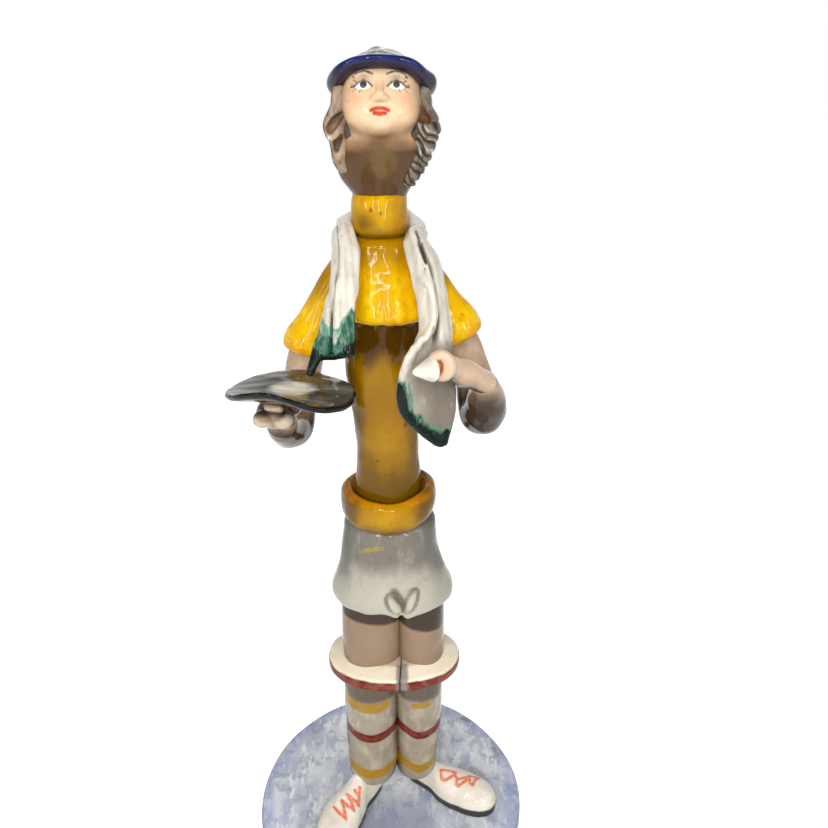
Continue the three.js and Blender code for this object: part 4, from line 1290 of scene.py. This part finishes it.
SCARF_ROWS = [
    [(16.4, -27.6, 56.5), (17, -27.2, 56.9), (17.7, -27, 57.2), (18.3, -27, 57), (18.9, -27, 56.7)],
    [(11.6, -28.5, 51.9), (13.6, -27.6, 52.3), (15.7, -27, 52.6), (17.8, -26.6, 52.5), (19.9, -26.2, 52.4)],
    [(6.6, -29.2, 45.4), (10.1, -27.4, 46.2), (14.5, -26.4, 46.4), (18.3, -25.8, 46.3), (21, -25.2, 46.6)],
    [(6.1, -29.5, 37), (8.5, -27, 39), (13.6, -25, 39.9), (17.9, -24.6, 40.1), (21.1, -24, 41.7)],
    [(8.3, -28.5, 29.4), (9.6, -26, 31.7), (13.9, -23.8, 32.6), (17.4, -23.4, 32.4), (19.9, -22, 33.6)],
    [(11.1, -27.2, 25.4), (10.2, -24.5, 28), (15.1, -22, 28.6), (17.7, -22.8, 28.3), (19.9, -20.5, 29.2)],
    [(14.4, -25.8, 21.8), (12.1, -22.5, 23.8), (15.7, -20, 24.4), (17.6, -21.8, 23.2), (19.6, -18.8, 24)],
    [(15.4, -24, 17.4), (11.9, -20.5, 18.2), (15.1, -18, 20), (17, -20.4, 18.6), (18.9, -17, 19.1)],
    [(14.4, -21.5, 11.4), (10.9, -17.5, 13), (14, -15, 14), (16.1, -18, 12.5), (18.1, -14.4, 13.6)],
    [(12.7, -17.5, 5.4), (9.2, -13.5, 6.5), (12, -11.5, 7.3), (14.2, -14.2, 6), (16.4, -10.8, 6.6)],
    [(10.6, -12.2, 1.6), (8, -9, 2.6), (10.1, -6.5, 2.6), (11.9, -9, 1.2), (13.5, -5.4, 2.6)],
    [(9.2, -5.5, -1.5), (8, -3, 0.5), (9.2, -0.5, 0.5), (10.2, -1.5, -1.2), (11.6, 1, 0.5)],
    [(12.4, 4.4, -0.6), (8.9, 2.2, -2.4), (9.6, 3.4, 0.2), (12.6, 4.4, 1.2), (12.6, 5, 3)],
    [(8.2, 11.6, -2), (6.2, 7.8, -5), (6.6, 8.6, -1), (8.2, 11, 0.6), (8, 11, 3)],
    [(1.2, 13.4, -2.6), (1, 10, -5.6), (1, 10.4, -1.6), (1.2, 12.7, 0.4), (1.2, 12.4, 2.8)],
    [(-6.2, 12.2, -2.6), (-4.8, 8.6, -5.4), (-5.2, 9.4, -1.6), (-6.4, 11.6, 0.4), (-6.4, 11.4, 2.6)],
    [(-12.2, 5.6, -2.4), (-8.6, 3, -4), (-9.4, 4, -1.2), (-12.2, 5.2, 0.2), (-12.6, 5.6, 1.8)],
    [(-11.2, -4.8, -3), (-8.9, -3, -2.6), (-10.6, -1.4, -0.8), (-12.4, -2.6, -1.2), (-13.3, -1, 0.2)],
    [(-10.7, -9, -1.7), (-8.4, -6.5, -1.1), (-10.8, -3.5, -0.4), (-12.2, -6, -1.3), (-13.5, -3.6, -0.1)],
    [(-10.1, -14, 2), (-6.7, -11, 2.8), (-10, -8.5, 3.4), (-12, -11.5, 2.6), (-13.2, -8.6, 3.4)],
    [(-10.4, -17.2, 6.9), (-6.8, -14.5, 7.4), (-9.9, -12, 8.4), (-11.6, -15, 7.5), (-12.9, -12.4, 8.2)],
    [(-11.3, -20.4, 12.4), (-7.4, -18, 12.8), (-10.7, -15.6, 13.8), (-12.7, -18.4, 13), (-13.8, -16.4, 13.6)],
    [(-11.9, -22.6, 18.1), (-8.1, -20.5, 18.5), (-11.6, -18.2, 19.6), (-13.8, -20.8, 18.7), (-15.4, -19, 19.3)],
    [(-12.1, -24.8, 23.6), (-8.4, -22.6, 24.4), (-12.2, -20.8, 25.1), (-14.9, -22.8, 24.3), (-17, -21.5, 24.8)],
    [(-12, -26.3, 27.6), (-8.3, -24, 27.8), (-12.8, -22.6, 29), (-16, -24.2, 28.7), (-18.7, -23.5, 29.6)],
    [(-11.5, -26.4, 29.1), (-8, -24.3, 29.1), (-13.2, -23.8, 30.4), (-17.3, -24.8, 30.6), (-20.1, -25.5, 34.7)],
]
SCARF_HALF = 1.15


def sheet_tree():
    """The scarf's middle surface, to measure distances from."""
    rows = np.array(SCARF_ROWS, float)
    rows[:, :, 2] = SHOULDER - rows[:, :, 2]
    along = through(rows.reshape(len(rows), -1), 7).reshape(-1, 5, 3)
    grid = through(along.transpose(1, 0, 2).reshape(5, -1), 6).reshape(-1, len(along), 3)
    wide, long = grid.shape[:2]
    corner = (np.arange(wide - 1)[:, None] * long + np.arange(long - 1)).ravel()
    quads = np.stack([corner, corner + 1, corner + long + 1, corner + long], 1)
    return BVHTree.FromPolygons(grid.reshape(-1, 3).tolist(), quads.tolist())


SHEET = sheet_tree()


def scarf_field(p):
    reach = np.array([SHEET.find_nearest(point)[3] for point in p.tolist()])
    x, y, z = p.T
    streaks = 0.13 * np.sin(2.6 * x + 0.7 * y + 1.2 * np.sin(z / 7)) * step_up(-y, -4, 8)
    body = reach - SCARF_HALF + streaks * step_up(z, SHOULDER - 34, SHOULDER - 24) + 0.12 * lumps(p, 9, 91)
    drop = SHOULDER - z
    rope = stroke(x, drop, [(11.7, 8.7), (14.5, 10.1), (15.4, 13.9), (15.4, 17.9), (14.3, 22)])
    dent = stroke(x, drop, [(11.6, 1), (13, 6.6)])
    body += np.where((x > 0) & (y < -10), 0.7 * bump_at(dent, 0, 0.9) - 0.6 * bump_at(rope, 0, 0.9), 0)
    return carve(body, upright(p, CHEST_ROWS, BUST + 0.2, SHOULDER, 2.4) - 0.1, 0.5)


def scarf_marks(p, normal):
    x, y, z = p.T
    drop = SHOULDER - z
    right = x > 0
    rim = np.minimum(stroke(x, drop, [(5.2, 38), (6.6, 45.4), (11.6, 51.9), (17.4, 57.2)]), 20)
    tip = stroke(x, drop, [(19.6, 53), (17.4, 57.2)]) + 1.6
    start = np.interp(x, [-20, -16, -12.5, -11, -8, -6], [20, 20.5, 22.5, 20.5, 17.5, 19])
    edge = nearest(rim, tip) - 1.8
    lower = step_up(drop, 49, 56)
    end = np.interp(x, [-21, -19, -16, -12.5, -9, -6], [26.5, 27.5, 29.3, 28.8, 26, 26.5])
    near = np.where(right, edge - 1 - 1.6 * lower, start - drop)
    lip = np.interp(drop, [20, 26, 31, 37, 45], [15.4, 12.4, 8.6, 6.4, 6.6])
    leaf = np.maximum(lip + 1.6 - x, 27 - drop)
    return {
        "green": near - np.where(right, 0, 0.5),
        "green_deep": near + np.where(right, 0.4, 3.4 - 3.6 * step_up(x, -12, -9)),
        "green_black": np.where(right, edge - 1.4 * lower, end - drop),
        # Painted shade on the inner face of the scarf's end, and a patch of painted light in it
        "inner": np.where(right & (y < -20), leaf, NO_MARK),
        "light": np.where(right, np.hypot(0.9 * (x - 11.6), 0.4 * (drop - 45)) - 1.4, NO_MARK),
        # Painted shade along a crease of the fold
        "crease_shade": np.where(right, stroke(x, drop, [(15.4, 21), (15.6, 25), (15.4, 36)]) - 0.6, NO_MARK),
    }


clay("scarf", "scarf", scarf_field, scarf_marks, SCARF_STEP, 3)


# Head, thrown back. Its own frame is x, forward, up from the head's centre

LEAN = math.radians(25)
HEAD_PLACE = (1, -7, NECK + 36)
NECK_ROWS = [
    (0, 0, 0, 6.8, 7), (0.32, 0, -0.2, 7.2, 7.4), (0.56, -0.4, -1.4, 11, 9.4),
    (0.72, 0, -2.8, 12.2, 10.4), (0.86, 0.8, -4.2, 12, 10.6), (1, 1, -5.4, 10.6, 9.6),
]
NECK_LENGTH = 28


def on_head(p):
    x, y, z = (p - np.array(HEAD_PLACE)).T
    c, s = math.cos(LEAN), math.sin(LEAN)
    return np.stack([x, z * s - y * c, y * s + z * c], 1)


def face_field(p):
    q = on_head(p)
    m = np.stack([abs(q[:, 0]), q[:, 1], q[:, 2]], 1)
    nose = limb(q, [(0, 10.8, 1.6, 0.8), (0, 12, -1, 1.05), (0, 12.7, -2.6, 1.35)])
    lips = nearest(egg(q, (0, 10.9, -5.5), (2.5, 1.15, 0.65)), egg(q, (0, 10.9, -6.8), (2, 1.15, 0.7)))
    face = join(
        3,
        egg(q, (0, -0.6, 0.8), (11.4, 11.4, 11)),
        egg(m, (4.6, 5.4, -3.4), (5, 5.2, 5.2)),
        egg(q, (0, 5, 4), (8, 6, 6)),
        egg(q, (0, 5.4, -6.2), (6.2, 5.4, 4.6)),
    )
    face = blend(face, egg(q, (0, 8.4, -9), (3, 2.7, 2.2)), 2.2)
    face = blend(face, egg(m, (4.2, 10.6, 3.4), (2.6, 0.9, 0.9)), 1.4)
    face = carve(face, egg(m, (4.3, 12.2, 0.9), (2.7, 1.7, 1.5)), 1.6)
    face = blend(face, egg(m, (4.3, 9.2, 0.8), (2, 1.6, 1.3)), 0.5)
    face = blend(face, blend(nose, egg(m, (1.3, 11.6, -3), (1, 1.2, 0.85)), 0.8), 1)
    face = blend(face, lips, 0.45)
    face = carve(face, egg(q, (0, 12.4, -8), (1.8, 0.8, 0.4)), 0.8)
    neck = upright(p, NECK_ROWS, NECK, NECK + NECK_LENGTH, 1)
    return blend(face, neck, 4) + 0.05 * lumps(p, 8, 101)


LID = [(2, 0.5), (2.9, 1.5), (4.3, 2), (5.7, 1.6), (6.7, 0.7), (7.5, 0.9)]
LASHES = [
    [(5.9, 1.6), (6.9, 2.5)],
    [(6.5, 1.1), (7.7, 1.7)],
    [(6.2, 0.1), (7.1, -0.6)],
    [(4.9, -0.2), (5.3, -1)],
]
BROW = [(1.9, 3.3), (4, 4.2), (6.9, 3.4)]
UPPER_LIP = [(-2.3, -5.9), (-0.8, -5.5), (0, -5.65), (0.8, -5.5), (2.3, -5.9)]
LOWER_LIP = [(-1.4, -6.7), (0, -6.95), (1.4, -6.7)]


def face_marks(p, normal):
    x, forward, up = on_head(p).T
    side = abs(x)
    front = np.where(forward > 5, 0, 6)
    lashes = nearest(*[stroke(side, up, lash) for lash in LASHES])
    below = p[:, 2] - HEAD_PLACE[2] + 9.5 + 3.5 * (normal[:, 2] + 0.25)
    return {
        "white": oval(side - 4.4, up - 0.8, 2.2, 1) + front,
        "iris": np.hypot(side - 4.3, up - 0.95) - 0.9 + front,
        "brow": nearest(stroke(side, up, LID) - 0.3, lashes - 0.13, stroke(side, up, BROW) - 0.32) + front,
        "lip": nearest(stroke(x, up, UPPER_LIP) - 0.42, stroke(x, up, LOWER_LIP) - 0.5) + front,
        "cheek": np.hypot(side - 6.4, up + 2.8) - 1.6 + front,
        # Painted shade of the brim on the forehead, and grey over the eyelids
        "grey": nearest(np.hypot(side - 4.2, up - 2.6) - 1.6, 4.2 - up) + front,
        # Painted shade on the jaw's sides, near the chin's underside and on the forehead under the brim
        "face_shade": nearest(below - 4, 9.6 - side + 0.4 * np.maximum(up - 1, 0), 6.4 - up),
        # Partly darker glaze, partly painted shade, under the chin and on the neck
        "under": below,
        # Painted reflection of the collar on the front of the neck
        "throat_reflection": oval(x - 0.2, p[:, 2] - NECK - 21.4, 3.6, 4.2) + np.where(p[:, 1] < 0, 0, 6),
    }


clay("head", "face", face_field, face_marks, HEAD_STEP, 2)


# Hair: a combed mass behind, open rolled curls at the right ear, slanting locks at the left

def hair_back_field(p):
    q = on_head(p)
    x, forward, up = q.T
    mass = egg(q, (0, -2.2, -0.6), (13.6, 12.6, 12.2))
    turn = np.arctan2(x, -forward)
    strands = 0.32 * np.sin(15 * turn + 1.3 * np.sin(up / 2.6)) + 0.2 * np.sin(31 * turn + up / 2)
    mass = mass + strands * step_up(-forward, -3, 2)
    return both(both(mass, forward - 1.2, 1.4), up - 6.5, 1)


def level_frame(p):
    """The head's place in an upright frame, for hair that hangs: x, forward, up."""
    return (p - np.array(HEAD_PLACE)) * (1, -1, 1)


CURL_PAD = [
    (-11.4, 2, 3, 1.9), (-11.2, 2, -1, 2.5), (-12.5, 1.6, -5.4, 3.5), (-12, 1.4, -9, 2.9),
    (-11.6, 1.2, -13, 2.6), (-11, 1, -16, 2),
]
CURL_HOLLOWS = [
    [(-10.6, 4.3, -2.4, 0.7), (-12.4, 4.6, -4.2, 1.3), (-13.9, 4.4, -6.1, 1.15)],
    [(-11, 4, -8, 0.6), (-12.1, 3.9, -9.6, 1), (-12.4, 3.7, -11.2, 0.7)],
]


def curl_hollows(q):
    return nearest(*[limb(q, hollow) for hollow in CURL_HOLLOWS])


def curls_field(p):
    q = level_frame(p)
    pad = limb(q, CURL_PAD) + 0.2 * lumps(p, 5, 111)
    lobe = egg(q, (-13.7, 2.8, -8.3), (1.3, 1.7, 1))
    foot = egg(q, (-12.2, 2.6, -13.2), (1.6, 1.8, 1.9))
    return carve(join(0.5, pad, lobe, foot), curl_hollows(q), 0.4)


def curls_marks(p, normal):
    q = level_frame(p)
    return {
        "pale": egg(q, (-13.9, 3.4, -8.2), (1.1, 1.6, 0.8)),
        # Painted shade on the curls' outward and back faces
        "dark": nearest(4 * (normal[:, 0] + 0.78), q[:, 1] + 2.5),
        "recess": curl_hollows(q) - 0.25,
    }


LOCK_PAD = [
    (11.2, 2, 3, 1.9), (11.4, 2, -1.5, 2.7), (12.4, 1.6, -5.6, 3.6), (11.8, 1.2, -9.4, 3.1),
    (10.6, 0.8, -13.2, 3), (9, 0.4, -16.6, 2.6), (7.6, 0, -20, 2),
]
LOCK_HOLLOW = [(10.9, 4.6, -0.8, 0.6), (11.3, 4.8, -3, 1.4), (12.6, 4.7, -3.6, 0.8)]
STRAND_PITCH = 3.3


def strands_at(q):
    """1 on a strand's back and -1 between strands, which fall outwards and down."""
    x, forward, up = q.T
    across = up + 1.25 * (x - 10) - 0.12 * np.maximum(x - 12, 0) ** 2 + 0.6 * forward
    return np.sin(2 * np.pi * across / STRAND_PITCH + 1.3 * np.sin(0.9 * up + 1) + 0.8 * np.sin(1.7 * x))


def locks_field(p):
    q = level_frame(p)
    low = step_up(-q[:, 2], 3.4, 5)
    pad = limb(q, LOCK_PAD) - 0.24 * strands_at(q) * low + 0.12 * lumps(p, 4, 112)
    rim = limb(q, [(12, 3.6, 0.6, 0.8), (13.8, 3.6, -2.4, 0.9), (14.4, 3.2, -5, 0.9)])
    return carve(blend(pad, rim, 0.6), limb(q, LOCK_HOLLOW), 0.4)


def locks_marks(p, normal):
    q = level_frame(p)
    strand = strands_at(q)
    top = 2 * step_up(q[:, 2], -4.4, -3.2)
    return {
        "pale": 0.95 - strand + top + 1.5 * step_up(-q[:, 2], 13, 15),
        # Dark between the strands, and painted shade on the locks' outward faces low down
        "dark": nearest(strand + 0.5 + top, 3 * (0.86 - normal[:, 0]) + 2 * step_up(q[:, 2], -3, -1)),
        "recess": limb(q, LOCK_HOLLOW) - 0.3,
    }


for node, glaze, name, field, marks, step, margin in (
    ("hair_back", "hair_back", "hair_back", hair_back_field, None, FINE_STEP, 2),
    ("hair_right_curls", "curls", "hair_curls", curls_field, curls_marks, HEAD_STEP, 4),
    ("hair_left_locks", "locks", "hair_locks", locks_field, locks_marks, HEAD_STEP, 5),
):
    clay(node, glaze, field, marks, step, margin, name)


# Cap: a rolled brim and a low pointed crown, leaned back with the head

CAP_FORWARD = 0.6
CAP_RISE = 6
BRIM_WIDE = 12.3
BRIM_DEEP = 11.9


def on_cap(p):
    return on_head(p).T - np.array([[0], [CAP_FORWARD], [CAP_RISE]])


def brim_field(p):
    x, forward, up = on_cap(p)
    ends = step_up(abs(x), 6, 13)
    out = oval(x, forward, BRIM_WIDE, BRIM_DEEP)
    roll = np.hypot(out / 2.5, (up + 1.3 * ends - 0.12 * out) / (1.45 + 0.9 * ends))
    return (roll - 1) * 1.7 + 0.12 * lumps(p, 10, 121)


def brim_marks(p, normal):
    up = on_cap(p)[2]
    # Painted shade where the brim's underside faces down
    return {"pale": 1.3 - up, "under": 1 + up + 2 * (normal[:, 2] + 0.2)}


def crown_field(p):
    x, forward, up = on_cap(p)
    top = 8.3 * (1 - (np.minimum(np.hypot(x, forward), 13) / 12.4) ** 1.7)
    return both((up - top) * 0.7, -up - 0.2, 0.6) + 0.2 * lumps(p, 5, 122)


def crown_marks(p, normal):
    return {"pale": abs(on_head(p)[:, 0]) - 4.5}


clay("cap_brim", "brim", brim_field, brim_marks, FINE_STEP, 2)
clay("cap_crown", "crown", crown_field, crown_marks, FINE_STEP, 2)


# Camera at the photograph's angle, pale floor and soft lamps

CAMERA_LENS = 34.78
SENSOR_WIDTH = 36
CAMERA_PLACE = (0.0098, -0.2387, 0.303)
CAMERA_TILT = 64.3
LAMP_TARGET = (0, 0, 0.17)
# Name, place, size, watts
LAMPS = [
    ("key", (-0.1, -0.55, 0.7), (0.05, 0.05), 0.8),
    ("window head", (-0.1, -0.55, 0.55), (0.34, 0.024), 0.8),
    ("window post", (-0.48, -0.32, 0.37), (0.024, 0.3), 0.75),
    ("window post", (-0.24, -0.53, 0.37), (0.024, 0.3), 0.75),
    ("window post", (0.04, -0.58, 0.37), (0.024, 0.3), 0.75),
    ("window post", (0.34, -0.47, 0.37), (0.024, 0.3), 0.75),
    ("side", (0.6, -0.3, 0.5), (0.12, 0.3), 0.9),
    ("back", (0.1, 0.6, 0.6), (0.6, 0.4), 0.8),
]
WORLD_DIM = 0.22
WORLD_TOP = 0.2
WHITE = (1, 1, 1, 1)
FLOOR_SIZE = 6
FLOOR_DROP = 0.0002
FLOOR_GLOW = 0.8
FLOOR_COLOUR = (0.86, 0.86, 0.86, 1)


def camera():
    data = bpy.data.cameras.new("camera")
    data.lens = CAMERA_LENS
    data.sensor_width = SENSOR_WIDTH
    made = add_object("camera", data)
    made.location = CAMERA_PLACE
    made.rotation_euler = (math.radians(CAMERA_TILT), 0, 0)
    bpy.context.scene.camera = made


def lamp(name, place_at, size, watts):
    data = bpy.data.lights.new(name, "AREA")
    data.shape = "RECTANGLE"
    data.size, data.size_y = size
    data.energy = watts
    made = add_object(name, data)
    made.location = place_at
    made.rotation_euler = (Vector(LAMP_TARGET) - Vector(place_at)).to_track_quat("-Z", "Y").to_euler()


def white_where_seen(tree, dim, bright):
    """White to the camera and in reflections, dim to everything else."""
    path = tree.nodes.new("ShaderNodeLightPath")
    seen = path.outputs["Is Camera Ray"]
    for name in ("Is Glossy Ray", "Is Transmission Ray"):
        add = tree.nodes.new("ShaderNodeMath")
        add.operation = "MAXIMUM"
        tree.links.new(seen, add.inputs[0])
        tree.links.new(path.outputs[name], add.inputs[1])
        seen = add.outputs[0]
    strength = tree.nodes.new("ShaderNodeMapRange")
    dial(strength, To_Min=dim, To_Max=bright)
    link(seen, strength, "Value")
    return strength


def backdrop():
    """A world that is white where it is seen, and darker upwards."""
    world = bpy.data.worlds.new("studio")
    bpy.context.scene.world = world
    world.use_nodes = True
    tree = world.node_tree
    background = tree.nodes["Background"]
    dial(background, Color=WHITE)
    height = tree.nodes.new("ShaderNodeSeparateXYZ")
    link(tree.nodes.new("ShaderNodeTexCoord").outputs["Generated"], height, "Vector")
    ceiling = tree.nodes.new("ShaderNodeMapRange")
    dial(ceiling, From_Min=0.12, From_Max=0.5, To_Min=1, To_Max=WORLD_TOP)
    link(height.outputs["Z"], ceiling, "Value")
    seen = white_where_seen(tree, WORLD_DIM, 1)
    link(ceiling.outputs["Result"], seen, "To Max")
    link(seen.outputs["Result"], background, "Strength")


def white_floor():
    bpy.ops.mesh.primitive_plane_add(size=FLOOR_SIZE, location=(0, 0, -FLOOR_DROP))
    floor = bpy.context.object
    floor.name = "floor"
    material = bpy.data.materials.new("floor")
    material.use_nodes = True
    surface = material.node_tree.nodes["Principled BSDF"]
    dial(surface, Base_Color=FLOOR_COLOUR, Roughness=0.7, Emission_Color=WHITE)
    seen = white_where_seen(material.node_tree, 0, FLOOR_GLOW)
    link(seen.outputs["Result"], surface, "Emission Strength")
    floor.data.materials.append(material)


camera()
backdrop()
white_floor()
for row in LAMPS:
    lamp(*row)
bpy.context.scene.view_settings.view_transform = "Standard"
